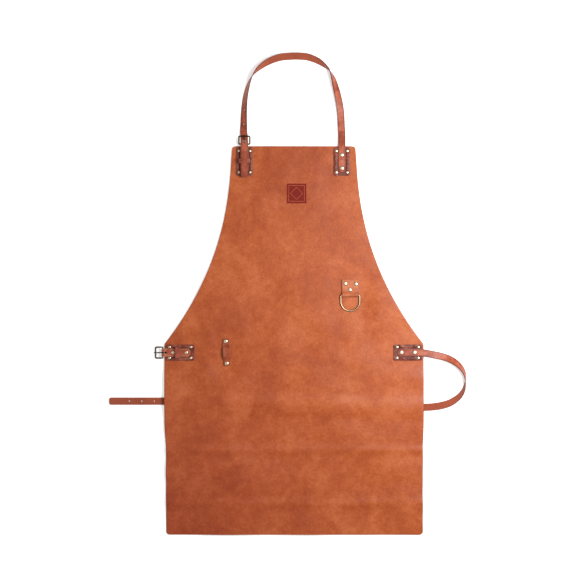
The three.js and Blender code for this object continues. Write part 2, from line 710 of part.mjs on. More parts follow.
function makeWaistStrap() {
  const half = HEM_W / 2;
  const tipX = -half - WAIST_TAIL;
  const runY = (x) => {
    const share = Math.min(1, (half - x) / (2 * half));
    return BACK_RUN_RIGHT_Y + share * (BACK_RUN_LEFT_Y - BACK_RUN_RIGHT_Y);
  };
  const holeX = [];
  for (let k = WAIST_HOLES - 1; k >= 0; k--) holeX.push(tipX + WAIST_HOLE_FIRST + k * WAIST_HOLE_PITCH);
  const run = [half, half - 36, ...holeX, tipX];
  const knots = [
    [WAIST_X + STRAP_END_U, WAIST_Y, 0, STRAP_ON_PATCH],
    [WAIST_X + STRAP_RIVET_U[1], WAIST_Y, 0, STRAP_ON_PATCH],
    [WAIST_X + 24, WAIST_Y, 0, STRAP_ON_PATCH],
    ...WAIST_CURVE.map(([x, y, twist, lift]) => [half + x, WAIST_Y + y, twist, lift]),
    ...run.map((x) => [x, runY(x), 180, 0]),
  ];
  const route = new StrapRoute(knots, STRAP_W, STRAP_T);
  const firstHole = knots.length - 1 - WAIST_HOLES;
  const holes = holeX.map((x, k) => route.hole(route.at(firstHole + k), 2 * HOLE_R, 2 * HOLE_R));
  const ends = rivets
    .filter(({ name }) => name.startsWith("waist_right_strap"))
    .map(({ x, y }) => drill(x, y, POST_R + RIVET_CLEAR));
  const cutters = [...holes, ...ends, route.roundEnd(0, -1), route.roundEnd(1, 1)];
  addMesh("waist_strap", geometryOf(cut(route.length(0, 1), cutters)), STRAP_LEATHER);
}

// ---- The tool loop, the ring and its tab ----------------------------------------------------------

function makeToolLoop() {
  const low = SHEET_TOP + GAP;
  const profile = [
    [1, 0],
    [0.65, 0],
    [0.63, 0],
    [0.5, 0.2],
    [0.3, 0.8],
    [0, 1],
  ];
  const down = profile.slice(0, -1).reverse();
  const knots = [...profile, ...down.map(([s, rise]) => [-s, rise])].map(([s, rise]) => {
    const along = (s * LOOP_L) / 2;
    const x = LOOP_X - along * Math.sin(loopLean);
    const y = LOOP_Y + along * Math.cos(loopLean);
    return [x, y, 0, low + rise * LOOP_RISE];
  });
  const route = new StrapRoute(knots, STRAP_W, STRAP_T);
  const holes = rivets
    .filter(({ name }) => name.startsWith("tool_loop"))
    .map(({ x, y }) => drill(x, y, POST_R + RIVET_CLEAR));
  addMesh("tool_loop", geometryOf(cut(route.length(0, 1), holes)), STRAP_LEATHER);
}

function makeTab() {
  const profile = fold(TAB_TAIL, TAB_SLOPE, RING_R, TAB_T, GAP, SHEET_TOP + GAP);
  const outline = roundedRect(THREE.Shape, -TAB_TAIL, -TAB_W / 2, 20, TAB_W / 2, 4);
  const body = solid(foldBody(profile, TAB_W)).intersect(solid(plate(outline, -5, 30)));
  const turned = geometryOf(body).rotateZ(-Math.PI / 2).translate(TAB_X, TAB_Y, 0);
  const holes = rivets
    .filter(({ name }) => name.startsWith("d_ring_tab"))
    .map(({ x, y }) => drill(x, y, POST_R + RIVET_CLEAR));
  addMesh("d_ring_tab", geometryOf(cut(turned, holes)), STRAP_LEATHER);
}

function makeRing() {
  const half = RING_INNER_W / 2 + RING_R;
  const corner = RING_CORNER_R;
  const outline = new THREE.Shape();
  outline.absarc(0, -RING_LEG, half, Math.PI, Math.PI * 2, false);
  outline.lineTo(half, -corner);
  outline.absarc(half - corner, -corner, corner, 0, Math.PI / 2, false);
  outline.lineTo(-half + corner, 0);
  outline.absarc(-half + corner, -corner, corner, Math.PI / 2, Math.PI, false);
  const ring = addMesh("d_ring", closedWire(outline, RING_R, 6), BRASS);
  ring.position.set(TAB_X, TAB_Y, RING_Z);
  // Its free end rests on the sheet.
  ring.rotation.x = Math.asin((RING_Z - SHEET_TOP - GAP - RING_R) / (RING_LEG + half));
}

function makeRivet({ name, x, y, headR, gripTop }) {
  const cap = gripTop + GAP;
  const profile = [
    [0, GAP],
    [BACK_R, GAP],
    [BACK_R, GAP + BACK_T],
    [POST_R, GAP + BACK_T],
    [POST_R, cap],
    [headR, cap],
    [headR, cap + 0.3 * DOME_H],
    [0.65 * headR, cap + 0.85 * DOME_H],
    [0, cap + DOME_H],
  ];
  const points = profile.map(([r, z]) => new THREE.Vector2(r, z));
  const geometry = new THREE.LatheGeometry(points, 10).rotateX(Math.PI / 2);
  addMesh(name, geometry, RIVET_BRASS).position.set(x, y, 0);
}

makeNeckStrap();
makeWaistStrap();
makeToolLoop();
makeTab();
makeRing();
rivets.forEach(makeRivet);

// The origin is the middle of the footprint, on the surface.
const box = new THREE.Box3().setFromObject(apron, true);
const middle = box.getCenter(new THREE.Vector3());
apron.position.set(-middle.x, -middle.y, -box.min.z);

export default apron;
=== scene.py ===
# %% [markdown]
# # A leather work apron, laid flat
# The apron is one thick hide with everything else riveted to it: four patches, two buckles on
# folded billets, a neck strap, a waist strap, a ring on a tab and a loop for tools. The packed
# model holds the sizes and the joints, so every piece here is made in its frame, in metres.

# %% Load the frame
import json
import math

import bmesh
import bpy
import numpy as np
from mathutils import Matrix, Vector, geometry, noise


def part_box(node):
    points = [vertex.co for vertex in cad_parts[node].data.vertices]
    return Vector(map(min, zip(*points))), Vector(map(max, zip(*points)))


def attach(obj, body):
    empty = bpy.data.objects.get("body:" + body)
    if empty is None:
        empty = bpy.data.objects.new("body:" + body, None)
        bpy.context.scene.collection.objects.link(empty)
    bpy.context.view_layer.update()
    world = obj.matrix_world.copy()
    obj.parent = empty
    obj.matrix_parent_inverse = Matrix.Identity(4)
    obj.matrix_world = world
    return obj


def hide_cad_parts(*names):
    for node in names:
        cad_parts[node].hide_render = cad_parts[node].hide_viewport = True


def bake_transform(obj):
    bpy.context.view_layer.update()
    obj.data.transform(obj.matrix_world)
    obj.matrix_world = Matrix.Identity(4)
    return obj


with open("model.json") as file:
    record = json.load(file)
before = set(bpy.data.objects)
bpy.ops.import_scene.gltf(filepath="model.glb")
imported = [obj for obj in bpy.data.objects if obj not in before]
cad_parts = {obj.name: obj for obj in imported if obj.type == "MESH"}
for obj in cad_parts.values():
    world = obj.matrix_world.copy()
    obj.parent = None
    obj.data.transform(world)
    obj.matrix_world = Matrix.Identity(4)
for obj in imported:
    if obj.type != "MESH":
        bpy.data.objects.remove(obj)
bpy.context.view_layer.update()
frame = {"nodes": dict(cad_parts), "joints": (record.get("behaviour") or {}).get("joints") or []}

# %% [markdown]
# Leatherwork is measured in millimetres, from the middle of the skirt and up from the hem. One
# function turns such a place into the frame's metres, so all the sizes below stay in millimetres.

# %% Apron millimetres to the frame
MM = 0.001
sheet_low, sheet_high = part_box("apron_sheet")
HEM_MIDDLE = Vector(((sheet_low.x + sheet_high.x) / 2, sheet_low.y, 0))


def spot(x, y, z=0.0):
    return HEM_MIDDLE + Vector((x, y, z)) * MM


def millimetres(node):
    """The lowest and highest corner of a CAD node, in apron millimetres."""
    low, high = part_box(node)
    return (low - HEM_MIDDLE) / MM, (high - HEM_MIDDLE) / MM


def middle_of(node):
    return sum(millimetres(node), Vector()) / 2


print("bib top, mm:", round(millimetres("apron_sheet")[1].y, 1))

# %% [markdown]
# ## Camera, light and floor
# The apron lies on a pale floor and the camera looks straight down at it from far away, so that
# nothing leans. A soft light hangs near the upper right: it falls off towards the hem on the left,
# raised pieces throw a short shadow that way, and the smooth leather has broad highlights.

# %% Camera
VIEW_WIDTH = 1.254
VIEW_MIDDLE = spot(-19.8, 548.9)
CAMERA_HEIGHT = 3.2
camera_data = bpy.data.cameras.new("camera")
camera_data.sensor_width = 36
camera_data.lens = camera_data.sensor_width * CAMERA_HEIGHT / VIEW_WIDTH
camera_data.clip_end = 50
camera = bpy.data.objects.new("camera", camera_data)
camera.location = VIEW_MIDDLE + Vector((0, 0, CAMERA_HEIGHT))
bpy.context.scene.collection.objects.link(camera)
bpy.context.scene.camera = camera
print("lens, mm:", round(camera_data.lens, 1))


# %% Lights
VIEW_AIM = spot(90, 420)


def softbox(name, place, size, watts, colour=(1, 1, 1)):
    data = bpy.data.lights.new(name, "AREA")
    data.shape = "SQUARE"
    data.size = size
    data.energy = watts
    data.color = colour
    lamp = bpy.data.objects.new(name, data)
    lamp.location = place
    lamp.rotation_euler = (VIEW_AIM - lamp.location).to_track_quat("-Z", "Y").to_euler()
    bpy.context.scene.collection.objects.link(lamp)


softbox("key", (0.7, 0.14, 1.05), 0.6, 20, (1.0, 0.98, 0.95))
softbox("fill", (-1.9, -0.4, 2.2), 2.0, 8, (0.95, 0.97, 1.0))
world = bpy.data.worlds.new("studio")
bpy.context.scene.world = world
world.use_nodes = True
world.node_tree.nodes["Background"].inputs["Color"].default_value = (1, 1, 1, 1)
world.node_tree.nodes["Background"].inputs["Strength"].default_value = 0.5
bpy.context.scene.view_settings.view_transform = "Standard"
print("2 softboxes and a pale world")

# %% [markdown]
# ## Materials
# Every finish is a node tree. Two small helpers keep them short: one turns an sRGB hex colour to
# linear light, and one adds a node with its settings and links. Pattern sizes are in millimetres.


# %% Colour and node helpers
def linear(code):
    """The linear RGBA of an sRGB hex colour."""
    parts = [int(code[i : i + 2], 16) / 255 for i in (1, 3, 5)]
    light = [p / 12.92 if p <= 0.04045 else ((p + 0.055) / 1.055) ** 2.4 for p in parts]
    return (*light, 1.0)


def add(tree, kind, inputs=None, give=None, stops=None, **settings):
    """Adds a node and gives the output to link from. An input is a value or another output.
    give names the output where it isn't the first, and stops are a ramp's (place, colour)."""
    made = tree.nodes.new("ShaderNode" + kind)
    for name, value in settings.items():
        setattr(made, name, value)
    for name, value in (inputs or {}).items():
        by_name = [s for s in made.inputs if s.enabled and s.name == name]
        socket = made.inputs[name] if isinstance(name, int) else by_name[0]
        if isinstance(value, bpy.types.NodeSocket):
            tree.links.new(value, socket)
        else:
            socket.default_value = value
    for k, (place, code) in enumerate(stops or ()):
        band = made.color_ramp.elements
        element = band[k] if k < len(band) else band.new(place)
        element.position = place
        element.color = linear(code)
    if give:
        return made.outputs[give]
    return next(s for s in made.outputs if s.enabled)


def new_finish(name):
    material = bpy.data.materials.new(name)
    material.use_nodes = True
    return material, material.node_tree, material.node_tree.nodes["Principled BSDF"]


def per(millimetre):
    """A texture scale that repeats about once in this many millimetres."""
    return 1 / (millimetre * MM)


print("a mid tan in linear light:", [round(c, 3) for c in linear("#a44d20")])

# %% [markdown]
# Vegetable-tanned leather, dyed through and waxed. Its colour drifts over a hand's width where
# the hide took the dye unevenly, with smaller blotches and a fine pebbled grain. The wax gives a
# satin gloss that is duller where the grain is open. The grain is really about 0.7 mm, which
# would not show from here, so its cells are drawn at 2.2 mm, and the wrinkles at 9 mm.


# %% Leather's colour, gloss and relief
def leather(name, shades, roughness=0.5, gloss=0.3, grain=0.15, wrinkle=0.4, drift=75, shift=0.0):
    """Waxed leather. shades are its dark, middle and light hex colours. Gives the material and
    the sockets that a finish on top of it can still change."""
    material, tree, skin = new_finish(name)
    where = add(tree, "TexCoord", give="Object")
    moved = add(tree, "Mapping", {"Vector": where, "Location": (shift, shift / 2, 0)})
    cloud = add(tree, "TexNoise", {"Vector": moved, "Scale": per(drift), "Detail": 5.0,
                                   "Roughness": 0.55, "Distortion": 0.6})
    blotch = add(tree, "TexNoise", {"Vector": moved, "Scale": per(16), "Detail": 6.0,
                                    "Roughness": 0.65})
    fleck = add(tree, "TexNoise", {"Vector": moved, "Scale": per(5), "Detail": 3.0})
    drifted = add(tree, "Mix", {"Factor": 0.38, "A": cloud, "B": blotch})
    drifted = add(tree, "Mix", {"Factor": 0.22, "A": drifted, "B": fleck})
    colour = add(tree, "ValToRGB", {"Fac": drifted},
                 stops=[(0.4, shades[0]), (0.5, shades[1]), (0.61, shades[2])])
    cells = add(tree, "TexVoronoi", {"Vector": where, "Scale": per(2.2)}, feature="SMOOTH_F1")
    creases = add(tree, "TexNoise", {"Vector": where, "Scale": per(9), "Detail": 4.0,
                                     "Roughness": 0.6, "Distortion": 1.4})
    pores = add(tree, "MapRange", {"Value": cells, "From Min": 0.1, "From Max": 0.75,
                                   "To Min": 1.0, "To Max": 0.88})
    colour = add(tree, "Mix", {"Factor": 1.0, "A": colour, "B": pores},
                 data_type="RGBA", blend_type="MULTIPLY")
    satin = add(tree, "MapRange", {"Value": blotch, "From Min": 0.3, "From Max": 0.7,
                                   "To Min": roughness - 0.07, "To Max": roughness + 0.1})
    folds = add(tree, "Bump", {"Strength": wrinkle, "Distance": 0.6 * MM, "Height": creases})
    relief = add(tree, "Bump", {"Strength": grain, "Distance": 0.3 * MM, "Height": cells,
                                "Normal": folds}, invert=True)
    tree.links.new(colour, skin.inputs["Base Color"])
    tree.links.new(satin, skin.inputs["Roughness"])
    tree.links.new(relief, skin.inputs["Normal"])
    skin.inputs["Specular IOR Level"].default_value = gloss
    return material, tree, skin, {"where": where, "colour": colour, "relief": relief,
                                  "satin": satin}


def tint_towards_edges(tree, skin, parts, edge_hex, start=0.62, amount=0.8):
    """Burnishing rubs a strip's edges dark. Its map runs from 0 to 1 across the strip."""
    across = add(tree, "SeparateXYZ", {"Vector": add(tree, "UVMap", uv_map="strip", give="UV")})
    off_middle = add(tree, "Math", {0: across, 1: 0.5}, operation="SUBTRACT")
    from_middle = add(tree, "Math", {0: off_middle}, operation="ABSOLUTE")
    near_edge = add(tree, "MapRange", {"Value": from_middle, "From Min": start / 2,
                                       "From Max": 0.5, "To Min": 0.0, "To Max": amount})
    colour = add(tree, "Mix", {"Factor": near_edge, "A": parts["colour"], "B": linear(edge_hex)},
                 data_type="RGBA")
    tree.links.new(colour, skin.inputs["Base Color"])


def edged_leather(name, shades, edge_hex, start=0.62, amount=0.8, **finish):
    material, tree, skin, parts = leather(name, shades, **finish)
    tint_towards_edges(tree, skin, parts, edge_hex, start, amount)
    return material


print("leather is ready")

# %% [markdown]
# The hide carries a mark pressed and inked into the bib: a plain square with a diamond in it.
# It is part of the leather's own finish, so the grain runs through it. The ink is a little uneven.
# A number "at_cut" on the sheet's outermost points darkens the last millimetres before the cut.
# Painted shade darkens the colour in two places, at one hem corner and at the top of the bib, where
# the soft light falls off.

# %% The hide's grain side, with its pressed mark
MARK_MIDDLE = spot(5.6, 750)
MARK_HALF = 21.5 * MM
hide, hide_tree, hide_skin, hide_parts = leather(
    "hide_grain", ("#96411b", "#a44d20", "#b25d31"), roughness=0.44, gloss=0.3, drift=95,
    wrinkle=0.6,
)


def mark_mask(tree, where):
    """1 on the inked parts of the mark, and 0 elsewhere."""
    centred = add(tree, "Mapping", {"Vector": where, "Location": -MARK_MIDDLE})
    wobble = add(tree, "TexNoise", {"Vector": where, "Scale": per(4), "Detail": 3.0})
    split = tree.nodes.new("ShaderNodeSeparateXYZ")
    tree.links.new(centred, split.inputs[0])
    x = add(tree, "Math", {0: split.outputs["X"]}, operation="ABSOLUTE")
    y = add(tree, "Math", {0: split.outputs["Y"]}, operation="ABSOLUTE")
    square = add(tree, "Math", {0: x, 1: y}, operation="MAXIMUM")
    diamond = add(tree, "Math", {0: x, 1: y}, operation="ADD")
    rough = add(tree, "MapRange", {"Value": wobble, "To Min": -0.9 * MM, "To Max": 0.9 * MM})
    square = add(tree, "Math", {0: square, 1: rough}, operation="ADD")
    diamond = add(tree, "Math", {0: diamond, 1: rough}, operation="ADD")
    inside = add(tree, "Math", {0: square, 1: MARK_HALF}, operation="LESS_THAN")
    frame_line = add(tree, "Math", {0: square, 1: MARK_HALF * 0.8, 2: 0.6 * MM},
                     operation="COMPARE")
    diamond_line = add(tree, "Math", {0: diamond, 1: MARK_HALF * 0.62, 2: 0.8 * MM},
                       operation="COMPARE")
    lines = add(tree, "Math", {0: frame_line, 1: diamond_line}, operation="MAXIMUM")
    return add(tree, "Math", {0: inside, 1: lines}, operation="SUBTRACT", use_clamp=True)


# Painted shade: within each reach the colour is multiplied darker, near one hem corner and near the
# top of the bib.
PAINTED_SHADE_POOLS = [(spot(-285, 0), 450 * MM, "#e7cbd0"), (spot(10, 815), 150 * MM, "#eadcdf")]
shaded_colour = hide_parts["colour"]
for shade_middle, reach, shade_tint in PAINTED_SHADE_POOLS:
    away = add(hide_tree, "VectorMath", {0: hide_parts["where"], 1: shade_middle},
               operation="DISTANCE", give="Value")
    shade_share = add(hide_tree, "MapRange", {"Value": away, "From Max": reach, "To Min": 1.0,
                                         "To Max": 0.0})
    shaded_colour = add(hide_tree, "Mix", {"Factor": shade_share, "A": shaded_colour, "B": linear(shade_tint)},
               data_type="RGBA", blend_type="MULTIPLY")
inked = mark_mask(hide_tree, hide_parts["where"])
ink = add(hide_tree, "Math", {0: inked, 1: 0.97}, operation="MULTIPLY")
hide_colour = add(hide_tree, "Mix", {"Factor": ink, "A": shaded_colour, "B": linear("#6a0d05")},
                  data_type="RGBA")
pressed = add(hide_tree, "Bump", {"Strength": 0.6, "Distance": 0.4 * MM, "Height": inked,
                                  "Normal": hide_parts["relief"]}, invert=True)
at_cut = add(hide_tree, "Attribute", attribute_name="at_cut", give="Fac")
at_cut = add(hide_tree, "MapRange", {"Value": at_cut, "From Min": 0.55, "To Max": 0.6})
hide_colour = add(hide_tree, "Mix", {"Factor": at_cut, "A": hide_colour, "B": linear("#5a2410")},
                  data_type="RGBA")
hide_tree.links.new(hide_colour, hide_skin.inputs["Base Color"])
hide_tree.links.new(pressed, hide_skin.inputs["Normal"])
dull_ink = add(hide_tree, "Mix", {"Factor": inked, "A": hide_parts["satin"], "B": 0.8})
hide_tree.links.new(dull_ink, hide_skin.inputs["Roughness"])
print("hide_grain has", len(hide_tree.nodes), "nodes")

# %% [markdown]
# The straps are cut from the same kind of hide and dyed a shade darker, with burnished edges.
# The patches are thinner, soft and nearly oxblood. The tab is paler, and the billets show a pale
# cut edge where the others are burnished dark.

# %% Strap, patch and tab leather
strap_grain = edged_leather("strap_grain", ("#7b2f1c", "#9a452a", "#b06045"), "#521a0a",
                            start=0.55, roughness=0.42, gloss=0.35, drift=28, shift=0.3)
patch_grain = leather("patch_grain", ("#521e11", "#713021", "#8e4c3a"), roughness=0.43,
                      gloss=0.33, drift=20, wrinkle=0.7, shift=0.7)[0]
tab_grain = edged_leather("tab_grain", ("#964c2a", "#aa5b38", "#b96f4a"), "#6f3421",
                          start=0.86, amount=0.6, roughness=0.42, drift=24, shift=0.5)
billet_grain = edged_leather("billet_grain", ("#7a2f1c", "#944227", "#ac5c3f"), "#b98358",
                             start=0.83, amount=0.75, roughness=0.36, gloss=0.42, drift=18,
                             shift=1.7)
loop_grain = edged_leather("loop_grain", ("#6d2d1a", "#8a3d24", "#a25231"), "#55200f",
                           start=0.72, amount=0.6, roughness=0.42, drift=24, shift=0.9)
keeper_grain = leather("keeper_grain", ("#6a2b1c", "#883c29", "#a2533f"), roughness=0.4,
                       drift=18, shift=1.3)[0]
print("6 more leathers")

# %% [markdown]
# Under the grain, leather is loose fibre. The flesh side is brushed to a pale nap with no gloss,
# and a cut edge shows the same fibre pressed flat.


# %% Flesh side and cut edge
def fibre(name, shades, nap, roughness=0.92):
    """Bare leather fibre. nap is the length of its fibres in millimetres, drawn three times up."""
    material, tree, skin = new_finish(name)
    where = add(tree, "TexCoord", give="Object")
    fuzz = add(tree, "TexNoise", {"Vector": where, "Scale": per(3 * nap), "Detail": 8.0,
                                  "Roughness": 0.75})
    patchy = add(tree, "TexNoise", {"Vector": where, "Scale": per(45), "Detail": 3.0})
    both = add(tree, "Mix", {"Factor": 0.5, "A": fuzz, "B": patchy})
    colour = add(tree, "ValToRGB", {"Fac": both}, stops=[(0.35, shades[0]), (0.65, shades[1])])
    relief = add(tree, "Bump", {"Strength": 0.5, "Distance": 0.4 * MM, "Height": fuzz})
    tree.links.new(colour, skin.inputs["Base Color"])
    tree.links.new(relief, skin.inputs["Normal"])
    skin.inputs["Roughness"].default_value = roughness
    skin.inputs["Sheen Weight"].default_value = 0.1
    skin.inputs["Sheen Roughness"].default_value = 0.5
    return material


hide_flesh = fibre("hide_flesh", ("#8c5d40", "#a67a58"), nap=0.6)
hide_edge = fibre("hide_edge", ("#5f2f1b", "#8a5031"), nap=0.3, roughness=0.8)
strap_flesh = fibre("strap_flesh", ("#7f3620", "#9e4d31"), nap=0.5)
strap_edge = fibre("strap_edge", ("#401a12", "#663222"), nap=0.3, roughness=0.55)
billet_edge = fibre("billet_edge", ("#8a5539", "#b07c58"), nap=0.3, roughness=0.6)
patch_edge = fibre("patch_edge", ("#3e1612", "#5c2820"), nap=0.3, roughness=0.55)
print("6 fibre finishes")

# %% [markdown]
# The buckles and the ring are steel wire plated with brass, darkened in a bath and then polished by
# rubbing: the tops shine and the flanks keep the brown. A number on each point, from how far it
# faces up, tells the finish where that is; it paints that wear together with a painted highlight on
# the upward faces and painted shade on the flanks. The rivet caps are paler, with a dark rim.


# %% Antiqued brass
def antiqued(name, bright, dark, roughness, spread, uneven=0.3):
    material, tree, skin = new_finish(name)
    where = add(tree, "TexCoord", give="Object")
    # Painted highlight and shade together with wear: upward faces take the bright colour, and flanks
    # take the dark one.
    wear_and_highlight = add(tree, "Attribute", attribute_name="wear_and_highlight", give="Fac")
    stain = add(tree, "TexNoise", {"Vector": where, "Scale": per(3), "Detail": 5.0,
                                   "Roughness": 0.7})
    stained = add(tree, "MapRange", {"Value": stain, "To Min": -uneven, "To Max": uneven})
    worn_stained_and_lit = add(tree, "Math", {0: wear_and_highlight, 1: stained}, operation="ADD")
    colour = add(tree, "ValToRGB", {"Fac": worn_stained_and_lit}, stops=[(spread[0], dark), (spread[1], bright)])
    dull = add(tree, "MapRange", {"Value": worn_stained_and_lit, "To Min": roughness + 0.22, "To Max": roughness})
    scratches = add(tree, "TexNoise", {"Vector": where, "Scale": per(1.2), "Detail": 2.0})
    relief = add(tree, "Bump", {"Strength": 0.06, "Distance": 0.2 * MM, "Height": scratches})
    tree.links.new(colour, skin.inputs["Base Color"])
    tree.links.new(dull, skin.inputs["Roughness"])
    tree.links.new(relief, skin.inputs["Normal"])
    skin.inputs["Metallic"].default_value = 1.0
    return material


buckle_brass = antiqued("buckle_brass", "#5f4c28", "#120b04", 0.36, (0.8, 1.3), uneven=0.25)
ring_brass = antiqued("ring_brass", "#ceac87", "#201306", 0.38, (0.6, 1.05), uneven=0.04)
# Rivet caps: a painted highlight on the dome, and a dark rim that is partly patina and partly
# painted shade.
rivet_brass = antiqued("rivet_brass", "#e9cdaf", "#2a1a0c", 0.3, (0.8, 0.98), uneven=0.04)
print("3 brasses")

# %% [markdown]
# ## Making a piece
# Each piece is built as a bmesh in millimetres, then one function moves it to the frame, gives it
# a wall and soft edges, and says which body carries it and which CAD nodes it stands for.


# %% From a bmesh to a finished piece
SHARP = math.radians(38)


def finish_piece(name, bm, finishes, nodes, body, wall=0.0, edge=0.0, centred=True,
                 edge_steps=2, metal=False):
    """wall is the thickness given to an open sheet, and edge how far its corners are rounded."""
    bmesh.ops.scale(bm, vec=(MM, MM, MM), verts=bm.verts)
    bmesh.ops.translate(bm, vec=HEM_MIDDLE, verts=bm.verts)
    mesh = bpy.data.meshes.new(name)
    bm.to_mesh(mesh)
    bm.free()
    for material in finishes:
        mesh.materials.append(material)
    piece = bpy.data.objects.new(name, mesh)
    bpy.context.scene.collection.objects.link(piece)
    if wall:
        solid = piece.modifiers.new("wall", "SOLIDIFY")
        solid.thickness = wall * MM
        solid.offset = 0 if centred else -1
        solid.use_even_offset = True
        solid.material_offset = min(1, len(finishes) - 1)
        solid.material_offset_rim = len(finishes) - 1
    if edge:
        soft = piece.modifiers.new("edge", "BEVEL")
        soft.width = edge * MM
        soft.segments = edge_steps
        soft.limit_method = "ANGLE"
        soft.angle_limit = math.radians(50)
    bpy.context.view_layer.update()
    if piece.modifiers:
        graph = bpy.context.evaluated_depsgraph_get()
        piece.data = bpy.data.meshes.new_from_object(piece.evaluated_get(graph))
        piece.modifiers.clear()
        piece.data.name = name
    shade(piece.data, metal)
    if nodes:
        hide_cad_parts(*nodes)
    if body:
        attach(piece, body)
    print(name, len(piece.data.polygons), "faces")
    return piece


def shade(mesh, metal):
    """Smooth faces with sharp corners, and on metal the number for its wear and painted highlight,
    high where it faces up.
    """
    bm = bmesh.new()
    bm.from_mesh(mesh)
    bm.normal_update()
    for face in bm.faces:
        face.smooth = True
    for edge in bm.edges:
        edge.smooth = len(edge.link_faces) == 2 and edge.calc_face_angle(0) < SHARP
    if metal:
        # Painted highlight and shade: how far each point faces up, together with its real wear.
        wear_and_highlight = bm.verts.layers.float.new("wear_and_highlight")
        for v in bm.verts:
            v[wear_and_highlight] = max(0.0, v.normal.z)
    bm.to_mesh(mesh)
    bm.free()


# %% [markdown]
# ## Strips of leather
# A strap, a billet, a tab and the tool loop are all strips. Each is a bmesh grid, one column of
# points per line along the strip, laid on a row of stations: a middle, a direction across and
# the direction the grain side faces. Holes are opened at a grid point before the wall is added.


# %% A strip laid on stations
class Station:
    def __init__(self, middle, across, along, share=1.0):
        self.middle = Vector(middle)
        self.across = Vector(across)
        self.along = along
        self.share = share  # of the full width, under 1 near a rounded end


def strip(stations, columns, holes=(), slot_rows=(), slot_half=0.0):
    """A grid over stations and columns. holes are (row, radius); faces in slot_rows go away."""
    bm = bmesh.new()
    uv = bm.loops.layers.uv.new("strip")
    nx, ny = len(columns) - 1, len(stations) - 1
    bmesh.ops.create_grid(bm, x_segments=nx, y_segments=ny, size=0.5)
    rows = {}
    spots = {}
    for v in bm.verts:
        key = round((v.co.x + 0.5) * nx), round((v.co.y + 0.5) * ny)
        rows[key] = v
        spots[v] = key
    width = columns[-1] - columns[0]
    for face in bm.faces:
        for loop in face.loops:
            i, j = spots[loop.vert]
            loop[uv].uv = ((columns[i] - columns[0]) / width, stations[j].along * MM)
    for (i, j), v in rows.items():
        station = stations[j]
        v.co = station.middle + station.across * columns[i] * station.share
    doomed = []
    middle = columns.index(0)
    for j, radius in holes:
        centre = rows[middle, j].co.copy()
        for i in (middle - 1, middle, middle + 1):
            for row in (j - 1, j, j + 1):
                v = rows[i, row]
                away = v.co - centre
                if away.length > 0:
                    v.co = centre + away.normalized() * radius
        doomed += rows[middle, j].link_faces
    for face in bm.faces:
        keys = [spots[v] for v in face.verts]
        low, high = min(k[1] for k in keys), max(k[1] for k in keys)
        inside = all(abs(columns[k[0]]) <= slot_half + 1e-6 for k in keys)
        if inside and any(first <= low and high <= last for first, last in slot_rows):
            doomed.append(face)
    if doomed:
        bmesh.ops.delete(bm, geom=list(set(doomed)), context="FACES")
    bmesh.ops.recalc_face_normals(bm, faces=bm.faces)
    return bm


def end_share(distance, half, corner):
    """How much of its width a strip keeps this far from an end with that corner radius."""
    if distance >= corner:
        return 1.0
    reach = math.sqrt(max(0.0, corner**2 - (corner - distance) ** 2))
    return (half - corner + reach) / half


# %% [markdown]
# A strap's route is a smooth curve through chosen knots. A knot is x, y, the twist in degrees and
# the height of the strap's lowest line. At no twist the grain side is up; at 90 the strap stands
# on its edge. Where the free loop of a flat strap bends sideways, it has to stand up like that.


# %% A strap's route
def smooth_step(points, t):
    """The point a share t along the centripetal Catmull-Rom curve through points."""
    last = len(points) - 1
    k = min(int(t * last), last - 1)
    w = t * last - k
    p1, p2 = points[k], points[k + 1]
    p0 = points[k - 1] if k > 0 else 2 * p1 - p2
    p3 = points[k + 2] if k + 2 <= last else 2 * p2 - p1
    d0, d1, d2 = (math.sqrt((b - a).length) for a, b in ((p0, p1), (p1, p2), (p2, p3)))
    d0, d2 = d0 or d1, d2 or d1
    m1 = ((p1 - p0) / d0 - (p2 - p0) / (d0 + d1) + (p2 - p1) / d1) * d1
    m2 = ((p2 - p1) / d1 - (p3 - p1) / (d1 + d2) + (p3 - p2) / d2) * d1
    return (2 * w**3 - 3 * w**2 + 1) * p1 + (w**3 - 2 * w**2 + w) * m1 + (
        3 * w**2 - 2 * w**3) * p2 + (w**3 - w**2) * m2


FINE = 4000


